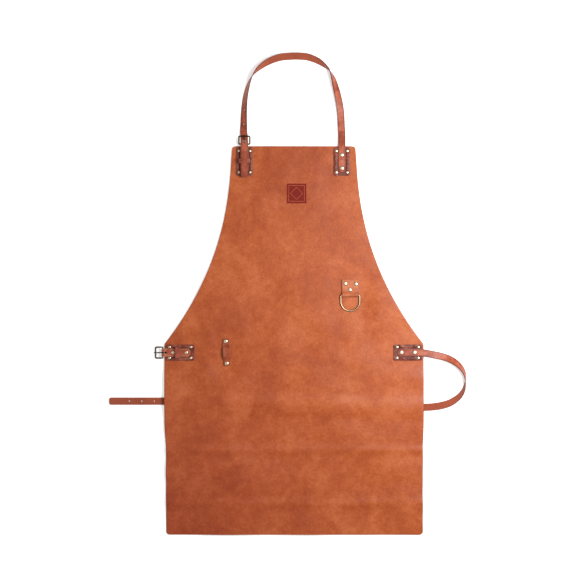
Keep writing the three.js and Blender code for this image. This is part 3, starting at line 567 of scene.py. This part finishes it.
class Route:
    def __init__(self, knots, width, thickness):
        self.path = [Vector((x, y, lift)) for x, y, _, lift in knots]
        self.turns = [Vector((twist, k, 0)) for k, (_, _, twist, _) in enumerate(knots)]
        self.width, self.thickness = width, thickness
        self.last = len(knots) - 1

    def middle(self, t):
        p = smooth_step(self.path, t)
        twist = math.radians(smooth_step(self.turns, t).x)
        standing = abs(math.sin(twist)) * self.width + abs(math.cos(twist)) * self.thickness
        return p + Vector((0, 0, standing / 2))

    def directions(self, t):
        """Along the strap and across it, so that across x along is the grain side."""
        ahead, behind = self.middle(min(1, t + 1e-3)), self.middle(max(0, t - 1e-3))
        along = (ahead - behind).normalized()
        outward = Vector((-along.y, along.x, 0)).normalized()
        upward = along.cross(outward)
        twist = math.radians(smooth_step(self.turns, t).x)
        return along, -(outward * math.cos(twist) - upward * math.sin(twist))

    def lengths(self):
        """How far along the strap each of many even shares of the route lies."""
        fine = [self.middle(i / FINE) for i in range(FINE + 1)]
        run = [0.0]
        for a, b in zip(fine, fine[1:]):
            run.append(run[-1] + (b - a).length)
        return run

    def stations(self, step, holes=(), hole_radius=0.0, slots=(), ends=(0, 0)):
        """Stations a step apart, closer at rounded ends, with rows that holes and slots need.
        holes are knot numbers, slots are (length share, half length) and ends corner radii."""
        run = self.lengths()
        length = run[-1]
        shares = np.linspace(0, 1, FINE + 1)

        def at(share):
            return np.interp(share, shares, run)

        wanted = {round(i * length / round(length / step), 3): None
                  for i in range(round(length / step) + 1)}
        fixed = []
        for share in holes:
            fixed += [at(share) - hole_radius, at(share), at(share) + hole_radius]
        for share, half in slots:
            fixed += [at(share) - half, at(share) + half]
        for corner, start, sign in ((ends[0], 0, 1), (ends[1], length, -1)):
            if corner:
                fixed += [start + sign * corner * (1 - math.cos(math.radians(a)))
                          for a in (9, 20, 32, 44, 56, 68, 80)]
        lengths = [s for s in wanted if all(abs(s - f) > 0.45 * step for f in fixed)]
        lengths = sorted(set(lengths + fixed))
        made = []
        for s in lengths:
            t = float(np.interp(s, run, shares))
            along, across = self.directions(t)
            half = self.width / 2
            share = 1.0
            if ends[0]:
                share = min(share, end_share(s, half, ends[0]))
            if ends[1]:
                share = min(share, end_share(length - s, half, ends[1]))
            made.append(Station(self.middle(t), across, s, share))

        def row(s):
            return int(np.argmin([abs(made_at - s) for made_at in lengths]))

        hole_rows = [row(at(share)) for share in holes]
        slot_rows = [(row(at(share) - half), row(at(share) + half)) for share, half in slots]
        return made, hole_rows, slot_rows


print("strips are ready")

# %% [markdown]
# ## The neck strap
# One strap: from its loose tip, through the keeper and over the left buckle's heel bar, under the
# outer bar, round the neck and down to the right patch. Its two ends lie still and the loop lifts;
# the strap itself is one mesh at rest, carried by no body.

# %% Heights of the layers, from the imported pieces
STRAP_W, STRAP_T = 16.0, 2.0
patch_top = millimetres("neck_left_patch")[1].z
hide_top = millimetres("tool_loop")[0].z
joint_at = {j["name"]: (Vector(j["pos_m"]) - HEM_MIDDLE) / MM
            for j in frame["joints"] if "pos_m" in j}
NECK_BAR = joint_at["neck_loop_lift"]
WAIST_BAR = joint_at["waist_buckle_swing"]
ON_PATCH = patch_top + 0.1
OVER_BAR = millimetres("neck_strap_tail")[0].z
WIRE_R, FRAME_L, FRAME_TILT = 1.65, 17.4, math.radians(5)
UNDER_OUTER_BAR = NECK_BAR.z + FRAME_L * math.sin(FRAME_TILT) - 1.5 * WIRE_R - STRAP_T
NECK_SHIFT = -2.0
print("strap over the billet, mm:", round(OVER_BAR, 2))

# %% Neck strap knots: x from the bib's centre line, y from the heel bar, twist and height
neck_knots = [
    (-107, -74, 0, OVER_BAR), (-107, -40, 0, OVER_BAR), (-107, -6, 0, OVER_BAR),
    (-107, 1, 0, OVER_BAR + 0.2), (-107, 4, 0, OVER_BAR - 0.3),
    (-107.4, FRAME_L, 0, UNDER_OUTER_BAR), (-108.6, 27, 12, 1.3), (-108.4, 44, 30, 0.15),
    (-107.6, 75, 42, 0), (-105, 102, 52, 0), (-100.7, 122, 60, 0), (-93.7, 142, 76, 0),
    (-86.9, 153.8, 90, 0), (-72.8, 169, 118, 0), (-53, 182, 140, 0), (-31, 190.5, 152, 0),
    (-7, 193.4, 154, 0), (14, 193.6, 154, 0), (33, 191.5, 150, 0), (55, 182.6, 132, 0),
    (70, 172, 108, 0), (79.2, 163.5, 90, 0), (87.8, 146, 58, 0), (92.6, 129, 40, 0),
    (97.7, 109, 26, 0), (101.7, 89, 15, 0), (104.5, 69, 8, 0), (105.8, 43, 2, 0.3),
    (107, 20, 0, 1.6), (107, 4, 0, 3.8), (107, -6, 0, ON_PATCH), (107, -12, 0, ON_PATCH),
    (107, -33, 0, ON_PATCH), (107, -61.4, 0, ON_PATCH),
]
STRAP_COLUMNS = [-8, -6.8, -4.4, -1.8, 0, 1.8, 4.4, 6.8, 8]
HOLE_R = 1.5
PRONG_KNOT = 4.19
neck_route = Route(
    [(NECK_SHIFT + x, NECK_BAR.y + y, twist, lift) for x, y, twist, lift in neck_knots],
    STRAP_W, STRAP_T,
)
stations, hole_rows, slot_rows = neck_route.stations(
    3.0,
    holes=[7 / neck_route.last, 8 / neck_route.last],
    hole_radius=HOLE_R,
    slots=[(PRONG_KNOT / neck_route.last, 4.2)],
    ends=(STRAP_W / 2, STRAP_W / 2),
)
neck_strap = finish_piece(
    "neck_strap_leather",
    strip(stations, STRAP_COLUMNS, [(row, HOLE_R) for row in hole_rows], slot_rows, 1.8),
    [strap_grain, strap_flesh, strap_edge],
    nodes=["neck_strap_tail", "neck_strap_bend_left", "neck_strap_loop",
           "neck_strap_bend_right", "neck_strap_fixed_end"],
    body=None, wall=STRAP_T, edge=0.4,
)
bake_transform(neck_strap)

# %% [markdown]
# ## The waist strap
# It starts on the right patch, curves back on its edge, turns grain side down and runs behind the
# skirt to show again past the left edge, where its holes are.

# %% Waist strap
HEM_HALF = millimetres("apron_sheet")[1].x
right_patch = middle_of("waist_right_patch")
strap_tip = millimetres("waist_strap")[0].x
RUN_RIGHT = right_patch.y - 120.5
RUN_LEFT = right_patch.y - 107.0
waist_curve = [
    (0, -0.6, 0, ON_PATCH), (17, -3.8, 5, 2.4), (37, -8, 15, 0.5), (55, -13.7, 25, 0),
    (68.5, -21, 35, 0), (80, -30.9, 47, 0), (87.7, -42.1, 60, 0), (91.2, -55.3, 75, 0),
    (90.5, -68.1, 90, 0), (86.8, -82.5, 108, 0), (79, -94.7, 125, 0), (69, -103.5, 140, 0),
    (56, -111.2, 153, 0), (40.6, -116, 165, 0), (25, -118.9, 175, 0),
]


def run_y(x):
    """The strap's centre line behind the skirt."""
    share = min(1.0, max(0.0, (HEM_HALF - x) / (2 * HEM_HALF)))
    return RUN_RIGHT + share * (RUN_LEFT - RUN_RIGHT)


hole_x = [strap_tip + 44.6 + 27.5 * k for k in (4, 3, 2, 1, 0)]
waist_knots = [(right_patch.x + u, right_patch.y, 0, ON_PATCH) for u in (-23.4, 14.8, 24)]
waist_knots += [(HEM_HALF + x, right_patch.y + y, t, lift) for x, y, t, lift in waist_curve]
waist_knots += [(x, run_y(x), 180, 0)
                for x in (HEM_HALF, HEM_HALF - 36, *hole_x, strap_tip)]
waist_route = Route(waist_knots, STRAP_W, STRAP_T)
first_hole = waist_route.last - len(hole_x)
stations, hole_rows, _ = waist_route.stations(
    3.5,
    holes=[(first_hole + k) / waist_route.last for k in range(len(hole_x))],
    hole_radius=HOLE_R,
    ends=(STRAP_W / 2, 4.5),
)
waist_strap = finish_piece(
    "waist_strap_leather",
    strip(stations, STRAP_COLUMNS, [(row, HOLE_R) for row in hole_rows]),
    [strap_grain, strap_flesh, strap_edge],
    nodes=["waist_strap"], body="apron", wall=STRAP_T, edge=0.4,
)

# %% [markdown]
# ## The hide
# The sheet is a grid squeezed between the two cut edges, row by row. Thick leather doesn't drape
# in small folds: it lies in long low swells, rises over the strap behind it, and keeps the soft
# ridges of where it was folded in storage. The swells are a smooth noise that only lifts, and they
# fade out wherever something is riveted on, so nothing sinks into the leather.

# %% The cut outline
SHEET_H = millimetres("apron_sheet")[1].y
WAIST_H, BIB_HALF, BIB_SHIFT = 420.0, 136.0, -0.5
HEM_CORNER, BIB_CORNER, WAIST_CORNER = 8.0, 9.0, 5.0


def curve(points, steps):
    """Points of a Bezier curve, from its 3 or 4 control points."""
    if len(points) == 3:
        a, b, c = (Vector(p) for p in points)
        points = [a, a + (b - a) * 2 / 3, c + (b - c) * 2 / 3, c]
    flat = [Vector((p[0], p[1], 0)) for p in points]
    return [(p.x, p.y) for p in geometry.interpolate_bezier(*flat, steps)]


def side_edge(side):
    """One side of the cut, from the hem up: side is 1 on the right and -1 on the left."""
    hem = side * HEM_HALF
    bib = BIB_SHIFT + side * BIB_HALF
    rise = SHEET_H - WAIST_H

    def pull(share):
        return bib + share * (hem - bib)

    corner = [math.radians(a) for a in range(0, 91, 15)]
    points = [(hem - side * HEM_CORNER * (1 - math.sin(a)), HEM_CORNER * (1 - math.cos(a)))
              for a in corner]
    turn = hem - side * 0.7 * WAIST_CORNER, WAIST_H + 0.7 * WAIST_CORNER
    points += curve([(hem, WAIST_H - WAIST_CORNER), (hem, WAIST_H), turn], 6)
    points += curve([turn, (pull(-0.006), WAIST_H + 0.442 * rise),
                     (pull(0.038), SHEET_H - 0.151 * rise), (bib, SHEET_H - BIB_CORNER)], 80)[1:]
    points += curve([(bib, SHEET_H - BIB_CORNER), (bib, SHEET_H),
                     (bib - side * BIB_CORNER, SHEET_H)], 8)[1:]
    return points


right_edge, left_edge = side_edge(1), side_edge(-1)


# %% How high the hide lies
def ease(t):
    t = min(1.0, max(0.0, t))
    return t * t * (3 - 2 * t)


RIVET_BACK = 1.2
OVER_STRAP = 2.45
flat_zones = [millimetres(n) for n in ("neck_left_patch", "neck_right_patch", "waist_left_patch",
                                       "waist_right_patch", "d_ring_tab", "tool_loop", "d_ring")]
FADE = 42.0
# Each storage fold's height above the hem, its lift and its reach; then the same over the strap.
STORAGE_FOLDS = [(186, 3.2, 9), (69, 2.8, 9)]
STRAP_LIFT, STRAP_REACH = 1.8, 13


def calm(x, y):
    """0 under what is riveted on, and 1 well away from it."""
    share = 1.0
    for low, high in flat_zones:
        dx = max(low.x - x, 0, x - high.x)
        dy = max(low.y - y, 0, y - high.y)
        share = min(share, ease(math.hypot(dx, dy) / FADE))
    return share


def swell(x, y):
    """The long low waves of the leather, in millimetres above where it would lie flat."""
    broad = noise.noise(Vector((x / 150 + 3.1, y / 105, 0.4)))
    small = noise.noise(Vector((x / 58, y / 44 + 7.0, 2.2)))
    skirt = 1.0 - 0.45 * ease((y - 420) / 200)
    return max(0.0, 2.6 + 5.2 * broad + 1.5 * small) * skirt


def storage_fold(x, y, at, height, reach):
    bow = 5.0 * noise.noise(Vector((x / 160, at, 1.0)))
    strength = 0.65 + 0.5 * noise.noise(Vector((x / 70, at, 5.0)))
    return height * strength * math.exp(-(((y - at - bow) / reach) ** 2))


def underside(x, y):
    """The hide's lower face: rivet backs, the strap behind it, then its own swells."""
    off = y - run_y(x)
    over = ease((34 + off) / 24) if off < 0 else ease((26 - off) / 16)
    back = RIVET_BACK * ease((off + 10) / 14)
    folds = [*STORAGE_FOLDS, (run_y(x), STRAP_LIFT, STRAP_REACH)]
    lift = swell(x, y) + sum(storage_fold(x, y, *fold) for fold in folds)
    return back + (OVER_STRAP - back) * over + calm(x, y) * lift


print("hide lifts, mm:", [round(underside(0, y), 1) for y in (69, 186, 300, 500, 700)])


# %% [markdown]
# The hide is cut by hand, so the knife wanders: the skirt narrows a little towards the hem, more
# on the left than on the right, and the cut wavers by about half a millimetre. Two depths and a
# noise give that, so no edge is drawn out point by point.

# %% The wandering cut
LEFT_NARROWING, RIGHT_NARROWING = 3.5, 1.8
NARROWS_BELOW, NARROWS_OVER = 250.0, 70.0
WAVER = 0.9


def stray(y, side):
    """How far inward the leather ends at this height: side is 1 on the right, -1 on the left."""
    depth = RIGHT_NARROWING if side > 0 else LEFT_NARROWING
    share = ease((NARROWS_BELOW - y) / NARROWS_OVER)
    return share * (depth + WAVER * noise.noise(Vector((y / 38, 3.0 * side, 0.7))))


# %% The sheet itself
HIDE_T = 2.0
COLUMNS = 122
ROW_STEP = 4.6


def hide_rows():
    corner = [HEM_CORNER * (1 - math.cos(math.radians(a))) for a in range(0, 91, 15)]
    skirt = np.linspace(HEM_CORNER, WAIST_H - 8, round((WAIST_H - 16) / ROW_STEP))[1:]
    waist = np.linspace(WAIST_H - 8, WAIST_H + 8, 9)[1:]
    bib = np.linspace(WAIST_H + 8, SHEET_H - 12, round((SHEET_H - WAIST_H - 20) / ROW_STEP))[1:]
    top = [SHEET_H - 12 + 12 * math.sin(math.radians(a)) for a in (15, 30, 45, 60, 75, 90)]
    return [*corner, *skirt, *waist, *bib, *top]


rows = hide_rows()
bm = bmesh.new()
bmesh.ops.create_grid(bm, x_segments=COLUMNS, y_segments=len(rows) - 1, size=0.5)
at_cut = bm.verts.layers.float.new("at_cut")
for v in bm.verts:
    y = rows[round((v.co.y + 0.5) * (len(rows) - 1))]
    right = np.interp(y, [p[1] for p in right_edge], [p[0] for p in right_edge])
    left = np.interp(y, [p[1] for p in left_edge], [p[0] for p in left_edge])
    left += stray(y, -1)
    right -= stray(y, 1)
    x = left + (v.co.x + 0.5) * (right - left)
    v.co = (x, y, underside(x, y) + HIDE_T)
    v[at_cut] = 1.0 if v.is_boundary else 0.0
hide_piece = finish_piece(
    "hide_sheet", bm, [hide, hide_flesh, hide_edge], nodes=["apron_sheet"], body="apron",
    wall=HIDE_T, edge=0.45, centred=False,
)

# %% [markdown]
# ## Patches
# The four patches are soft thin leather over a folded edge. They are flat where the strap or the
# billet presses on them, pulled down at the rivets, and puffed up in between along both long
# edges. The short ends draw in a little between their rivets.


# %% Patches
PATCH_T = 1.5
PUFF = 1.5
PATCH_HALF_L, PATCH_HALF_W = 32.0, 17.5


def patch(name, turned):
    low, high = millimetres(f"{name}_patch")
    middle = (low + high) / 2
    half_u, half_v = PATCH_HALF_L, PATCH_HALF_W
    dips = [middle_of(f"{name}_patch_rivet_{k}") - middle for k in (1, 2, 3, 4)]
    bm = bmesh.new()
    bmesh.ops.create_grid(bm, x_segments=60, y_segments=34, size=0.5)
    for vert in bm.verts:
        s = math.sin(vert.co.y * math.pi) * 0.35 + vert.co.y * 1.3
        v = half_v * s
        keep = end_share(half_v - abs(v), half_u, 4.5)
        draw_in = 1.0 * (1 - (v / half_v) ** 2) * abs(vert.co.x * 2) ** 6
        u = 2 * vert.co.x * (half_u * keep - draw_in)
        x, y = (-v, u) if turned else (u, v)
        beside = ease((abs(v) - 9.0) / 3.0)
        lumps = 0.75 + 0.55 * noise.noise(Vector((u / 6.5, v / 7, middle.x / 50)))
        pulled = min(1.0, min(1 - math.exp(-((x - d.x) ** 2 + (y - d.y) ** 2) / 26) for d in dips))
        rim = ease((half_v - abs(v)) / 2.6) * ease((half_u - abs(u)) / 3.0)
        z = high.z + PUFF * beside * lumps * pulled * (0.35 + 0.65 * rim)
        vert.co = (middle.x + x, middle.y + y, z)
    bmesh.ops.recalc_face_normals(bm, faces=bm.faces)
    if sum(f.normal.z for f in bm.faces) < 0:
        bmesh.ops.reverse_faces(bm, faces=bm.faces)
    return finish_piece(f"{name}_patch_leather", bm, [patch_grain, patch_edge, patch_edge],
                        nodes=[f"{name}_patch"], body="apron",
                        wall=PATCH_T, edge=0.55, centred=False)


for name, turned in (("neck_left", True), ("neck_right", True),
                     ("waist_left", False), ("waist_right", False)):
    patch(name, turned)

# %% [markdown]
# ## Rivets
# A rivet is a tube and a cap pressed together through the layers. Half its outline is drawn once
# and spun round its own axis, at the size and height that each packed rivet has.

# %% Rivets
POST_R, CAP_H, BACK_T, BACK_R = 1.2, 1.3, 1.0, 3.2
CAP_OUTLINE = [(0.96, 0.0), (1.0, 0.12), (1.0, 0.3), (0.95, 0.46), (0.82, 0.66), (0.62, 0.85),
               (0.36, 0.96), (0.0, 1.0)]
RIVET_STEPS = 20


def rivet(node):
    low, high = millimetres(node)
    middle = (low + high) / 2
    radius = max(high.x - low.x, high.y - low.y) / 2
    cap = high.z - CAP_H
    profile = [(0, low.z), (BACK_R - 0.25, low.z), (BACK_R, low.z + 0.25),
               (BACK_R, low.z + BACK_T), (POST_R, low.z + BACK_T), (POST_R, cap)]
    profile += [(radius * r, cap + CAP_H * h) for r, h in CAP_OUTLINE]
    bm = bmesh.new()
    line = [bm.verts.new((middle.x + r, middle.y, z)) for r, z in profile]
    edges = [bm.edges.new(pair) for pair in zip(line, line[1:])]
    bmesh.ops.spin(bm, geom=line + edges, cent=(middle.x, middle.y, 0), axis=(0, 0, 1),
                   dvec=(0, 0, 0), angle=2 * math.pi, steps=RIVET_STEPS, use_merge=True)
    bmesh.ops.remove_doubles(bm, verts=bm.verts, dist=1e-3)
    bmesh.ops.recalc_face_normals(bm, faces=bm.faces)
    finish_piece(f"{node}_brass", bm, [rivet_brass], nodes=[node], body="apron",
                 metal=True)


for node in sorted(n for n in frame["nodes"] if "_rivet_" in n):
    rivet(node)

# %% [markdown]
# ## Buckles and ring
# All of it is bent wire. A curve follows the bent line and is given a round section, then it is
# made a mesh. The prong is the same with a thinner tip, and its eye is a ring spun round the bar.


# %% Bent wire
def bent_wire(points, radius, closed=False, thin=None):
    """A bmesh of round wire along points. thin gives each point's share of the radius."""
    data = bpy.data.curves.new("wire", "CURVE")
    data.dimensions = "3D"
    data.bevel_depth = radius
    data.bevel_resolution = 4
    data.use_fill_caps = not closed
    line = data.splines.new("POLY")
    line.points.add(len(points) - 1)
    for k, (point, place) in enumerate(zip(line.points, points)):
        point.co = (*place, 1)
        point.radius = thin[k] if thin else 1.0
    line.use_cyclic_u = closed
    holder = bpy.data.objects.new("wire", data)
    bpy.context.scene.collection.objects.link(holder)
    bpy.context.view_layer.update()
    graph = bpy.context.evaluated_depsgraph_get()
    bm = bmesh.new()
    bm.from_mesh(bpy.data.meshes.new_from_object(holder.evaluated_get(graph)))
    bpy.data.objects.remove(holder)
    bmesh.ops.remove_doubles(bm, verts=bm.verts, dist=1e-3)
    bmesh.ops.recalc_face_normals(bm, faces=bm.faces)
    return bm


def rounded_box(x0, y0, x1, y1, r, steps=5):
    """Points round a rectangle with round corners."""
    made = []
    for cx, cy, start in ((x1 - r, y1 - r, 0), (x0 + r, y1 - r, 90),
                          (x0 + r, y0 + r, 180), (x1 - r, y0 + r, 270)):
        for k in range(steps + 1):
            a = math.radians(start + 90 * k / steps)
            made.append((cx + r * math.cos(a), cy + r * math.sin(a)))
    return made


# %% Buckle frames and prongs
FRAME_HALF, FRAME_CORNER = 12.05, 2.6
PRONG_R = 1.2


def turned_to(bar, turn, tilt):
    """From a buckle's own frame, heel bar on Y and outer bar ahead on X, to the apron."""
    return (Matrix.Translation(bar) @ Matrix.Rotation(math.radians(turn), 4, "Z")
            @ Matrix.Rotation(math.radians(tilt), 4, "Y"))


def buckle(side, bar, turn, tilt, frame_body, prong_body):
    place = turned_to(bar, turn, tilt)
    outline = rounded_box(0, -FRAME_HALF, FRAME_L, FRAME_HALF, FRAME_CORNER)
    bm = bent_wire([(x, y, 0) for x, y in outline], WIRE_R, closed=True)
    bmesh.ops.transform(bm, matrix=place, verts=bm.verts)
    finish_piece(f"{side}_frame_brass", bm, [buckle_brass], nodes=[f"{side}_buckle_frame"],
                 body=frame_body, metal=True)
    # The prong's own bend, seen from the side, and how thick it is at each of those places.
    arch = [(2.1, 1.6), (2.9, 2.7), (4, 3.5), (5.6, 4.2), (7.4, 4.6), (9.2, 4.6), (11, 4.3),
            (14, 3.6), (17.4, 2.98), (19.2, 2.4), (20.4, 2.1)]
    thin = [1, 1.05, 1.1, 1.1, 1.05, 1.0, 0.95, 0.9, 0.9, 0.85, 0.55]
    bm = bent_wire([(x, 0, z) for x, z in arch], PRONG_R, thin=thin)
    section = [(1.85, -1.3), (2.0, -1.5), (2.7, -1.5), (2.9, -1.3),
               (2.9, 1.3), (2.7, 1.5), (2.0, 1.5), (1.85, 1.3)]
    ends = [bm.verts.new((r, y, 0)) for r, y in section]
    edges = [bm.edges.new(pair) for pair in zip(ends, ends[1:] + ends[:1])]
    bmesh.ops.spin(bm, geom=ends + edges, cent=(0, 0, 0), axis=(0, 1, 0), dvec=(0, 0, 0),
                   angle=2 * math.pi, steps=24, use_merge=True)
    bmesh.ops.remove_doubles(bm, verts=bm.verts, dist=1e-3)
    bmesh.ops.recalc_face_normals(bm, faces=bm.faces)
    bmesh.ops.transform(bm, matrix=place, verts=bm.verts)
    finish_piece(f"{side}_prong_brass", bm, [buckle_brass], nodes=[f"{side}_buckle_prong"],
                 body=prong_body, metal=True)


# The waist frame leans down until its outer bar rests on the floor.
bar_rest = WAIST_BAR.z - WIRE_R - 0.1
buckle("neck", NECK_BAR, 90, -math.degrees(FRAME_TILT), "neck_loop", "neck_loop")
buckle("waist", WAIST_BAR, 180, math.degrees(math.asin(bar_rest / FRAME_L)),
       "waist_buckle", "waist_prong")

# %% The ring: a D of thicker wire, its free end resting on the hide
RING_R, RING_HALF, RING_LEG, RING_CORNER = 1.75, 20.75, 13.2, 2.0
ring_bar = joint_at["d_ring_swing"]
outline = [(RING_HALF * math.cos(math.radians(a)), -RING_LEG + RING_HALF * math.sin(math.radians(a)))
           for a in range(180, 361, 6)]
for cx, start in ((RING_HALF - RING_CORNER, 0), (-RING_HALF + RING_CORNER, 90)):
    outline += [(cx + RING_CORNER * math.cos(math.radians(start + a)),
                 -RING_CORNER + RING_CORNER * math.sin(math.radians(start + a)))
                for a in range(0, 91, 18)]
bm = bent_wire([(x, y, 0) for x, y in outline], RING_R, closed=True)
droop = math.asin((ring_bar.z - hide_top - RING_R) / (RING_LEG + RING_HALF))
bmesh.ops.transform(bm, matrix=Matrix.Translation(ring_bar) @ Matrix.Rotation(droop, 4, "X"),
                    verts=bm.verts)
finish_piece("d_ring_brass", bm, [ring_brass], nodes=["d_ring"], body="d_ring",
             metal=True)

# %% [markdown]
# ## Billets, tab, keepers and tool loop
# A billet is a strip folded round the heel bar, with a slot at the fold for the prong and a round
# inner end. The ring's tab is folded the same way, wider and with no slot. Between the billet's
# plies runs the keeper, a narrow band that the strap's end tucks into.


# %% Folded strips
def folded(tail, slope, bar_r, ply, ply_gap, low, half, corner, slot_from=None, slot_half=0.0):
    """A strip folded round a bar on Y at x = 0, its two ends lying at x = -tail."""
    reach = bar_r + 0.1 + ply / 2
    bar_z = low + ply / 2 + reach
    upper = low + 1.5 * ply + ply_gap
    line = [(-tail, low + ply / 2), (0, low + ply / 2)]
    line += [(reach * math.cos(math.radians(a)), bar_z + reach * math.sin(math.radians(a)))
             for a in range(-80, 81, 10)]
    line += [(0, bar_z + reach), (-slope / 3, bar_z + reach - 0.05),
             (-slope * 0.66, (bar_z + reach + upper) / 2), (-slope, upper), (-tail, upper)]
    points = [Vector((x, 0, z)) for x, z in line]
    run = [0.0]
    for a, b in zip(points, points[1:]):
        run.append(run[-1] + (b - a).length)
    total = run[-1]
    near_end = [corner * (1 - math.cos(math.radians(a))) for a in (8, 20, 34, 48, 62, 76, 90)]
    lengths = set(near_end) | {total - s for s in near_end}
    lengths |= {corner + k * (total - 2 * corner) / 60 for k in range(61)}
    if slot_from is not None:
        slot_low, slot_high = tail + slot_from, total - tail - slot_from
        lengths = {s for s in lengths if min(abs(s - slot_low), abs(s - slot_high)) > 0.4}
        lengths |= {slot_low, slot_high}
    lengths = sorted(lengths)
    stations = []
    for s in lengths:
        p = Vector([float(np.interp(s, run, [q[k] for q in points])) for k in range(3)])
        share = min(end_share(s, half, corner), end_share(total - s, half, corner))
        stations.append(Station(p, (0, 1, 0), s, share))
    slots = []
    if slot_from is not None:
        slots = [(lengths.index(slot_low), lengths.index(slot_high))]
        columns = [-half, -half + 1.4, -(half + slot_half) / 2, -slot_half, 0,
                   slot_half, (half + slot_half) / 2, half - 1.4, half]
    else:
        columns = [half * k / 8 for k in range(-8, 9)]
    return strip(stations, columns, slot_rows=slots, slot_half=slot_half)


BILLET_T, BILLET_HALF = 1.2, 8.5
billet_low = millimetres("neck_billet")[0].z
for side, bar, turn in (("neck", NECK_BAR, 90), ("waist", WAIST_BAR, 180)):
    bm = folded(tail=61, slope=10, bar_r=WIRE_R, ply=BILLET_T, ply_gap=1.5, low=billet_low,
                half=BILLET_HALF, corner=BILLET_HALF, slot_from=-9.0, slot_half=2.2)
    bmesh.ops.transform(bm, matrix=turned_to(Vector((bar.x, bar.y, 0)), turn, 0), verts=bm.verts)
    finish_piece(f"{side}_billet_leather", bm, [billet_grain, strap_flesh, billet_edge],
                 nodes=[f"{side}_billet"], body="apron",
                 wall=BILLET_T, edge=0.25)

TAB_T, TAB_HALF = 1.4, 18.5
bm = folded(tail=35, slope=8, bar_r=RING_R, ply=TAB_T, ply_gap=0.1,
            low=millimetres("d_ring_tab")[0].z, half=TAB_HALF, corner=4.0)
bmesh.ops.transform(bm, matrix=turned_to(Vector((ring_bar.x, ring_bar.y, 0)), -90, 0),
                    verts=bm.verts)
finish_piece("d_ring_tab_leather", bm, [tab_grain, strap_flesh, billet_edge],
             nodes=["d_ring_tab"], body="apron", wall=TAB_T, edge=0.3)


# %% Keepers
KEEPER_T = 1.2


def keeper(side):
    low, high = millimetres(f"{side}_keeper")
    along_y = side == "neck"
    width = (high.y - low.y) if along_y else (high.x - low.x)
    half = ((high.x - low.x) if along_y else (high.y - low.y)) / 2
    middle = (low + high) / 2
    outline = rounded_box(-half, low.z, half, high.z, 1.5, steps=4)
    bm = bmesh.new()
    made = bmesh.ops.create_circle(bm, segments=len(outline), radius=1)["verts"]
    made.sort(key=lambda v: math.atan2(v.co.y, v.co.x) % (2 * math.pi) + 1e-9)
    for v, (across, z) in zip(made, outline):
        v.co = (-width / 2, across, z)
    loops = list(bm.edges)
    for _ in range(4):
        out = bmesh.ops.extrude_edge_only(bm, edges=loops)["geom"]
        loops = [g for g in out if isinstance(g, bmesh.types.BMEdge)
                 and all(v in out for v in g.verts)]
        bmesh.ops.translate(bm, vec=(width / 4, 0, 0),
                            verts=[g for g in out if isinstance(g, bmesh.types.BMVert)])
    bmesh.ops.recalc_face_normals(bm, faces=bm.faces)
    outward = sum((f.normal.z * (f.calc_center_median().z - middle.z)) for f in bm.faces)
    if outward < 0:
        bmesh.ops.reverse_faces(bm, faces=bm.faces)
    if along_y:
        bmesh.ops.rotate(bm, matrix=Matrix.Rotation(math.pi / 2, 3, "Z"), verts=bm.verts)
    bmesh.ops.translate(bm, vec=(middle.x, middle.y, 0), verts=bm.verts)
    finish_piece(f"{side}_keeper_leather", bm, [keeper_grain, strap_flesh, strap_edge],
                 nodes=[f"{side}_keeper"], body=f"{side}_keeper",
                 wall=KEEPER_T, edge=0.3, centred=False)


keeper("neck")
keeper("waist")

# %% Tool loop
LOOP_LEAN, LOOP_L, LOOP_RISE = math.radians(2.9), 60.5, 5.5
loop_middle = middle_of("tool_loop")
half_profile = [(1, 0), (0.65, 0), (0.63, 0), (0.5, 0.2), (0.3, 0.8), (0, 1)]
profile = half_profile + [(-s, rise) for s, rise in reversed(half_profile[:-1])]
loop_knots = []
for s, rise in profile:
    reach = s * LOOP_L / 2
    loop_knots.append((loop_middle.x - reach * math.sin(LOOP_LEAN),
                       loop_middle.y + reach * math.cos(LOOP_LEAN), 0, hide_top + rise * LOOP_RISE))
LOOP_COLUMNS = [-7, -5.9, -4, -2, 0, 2, 4, 5.9, 7]
loop_route = Route(loop_knots, 2 * LOOP_COLUMNS[-1], STRAP_T)
stations, _, _ = loop_route.stations(2.4, ends=(4.0, 4.0))
finish_piece("tool_loop_leather", strip(stations, LOOP_COLUMNS),
             [loop_grain, strap_flesh, billet_edge], nodes=["tool_loop"], body="apron",
             wall=STRAP_T, edge=0.4)

# %% [markdown]
# ## The floor
# A pale matt board, a hair below the apron so that the two surfaces don't fight. It glows a little,
# like a light table, so it stays white where the soft light falls off.

# %% Floor
floor_mesh = bpy.data.meshes.new("floor")
bm = bmesh.new()
bmesh.ops.create_grid(bm, x_segments=1, y_segments=1, size=14)
bmesh.ops.translate(bm, vec=(0, 0, -0.4 * MM), verts=bm.verts)
bm.to_mesh(floor_mesh)
bm.free()
floor = bpy.data.objects.new("floor", floor_mesh)
bpy.context.scene.collection.objects.link(floor)
board, board_tree, board_skin = new_finish("pale_board")
speck = add(board_tree, "TexNoise", {"Scale": per(40), "Detail": 3.0})
tone = add(board_tree, "ValToRGB", {"Fac": speck}, stops=[(0.3, "#f4f4f2"), (0.7, "#f8f8f7")])
board_tree.links.new(tone, board_skin.inputs["Base Color"])
board_skin.inputs["Roughness"].default_value = 0.9
board_skin.inputs["Specular IOR Level"].default_value = 0.1
board_skin.inputs["Emission Color"].default_value = (1, 1, 1, 1)
board_skin.inputs["Emission Strength"].default_value = 0.36
floor_mesh.materials.append(board)
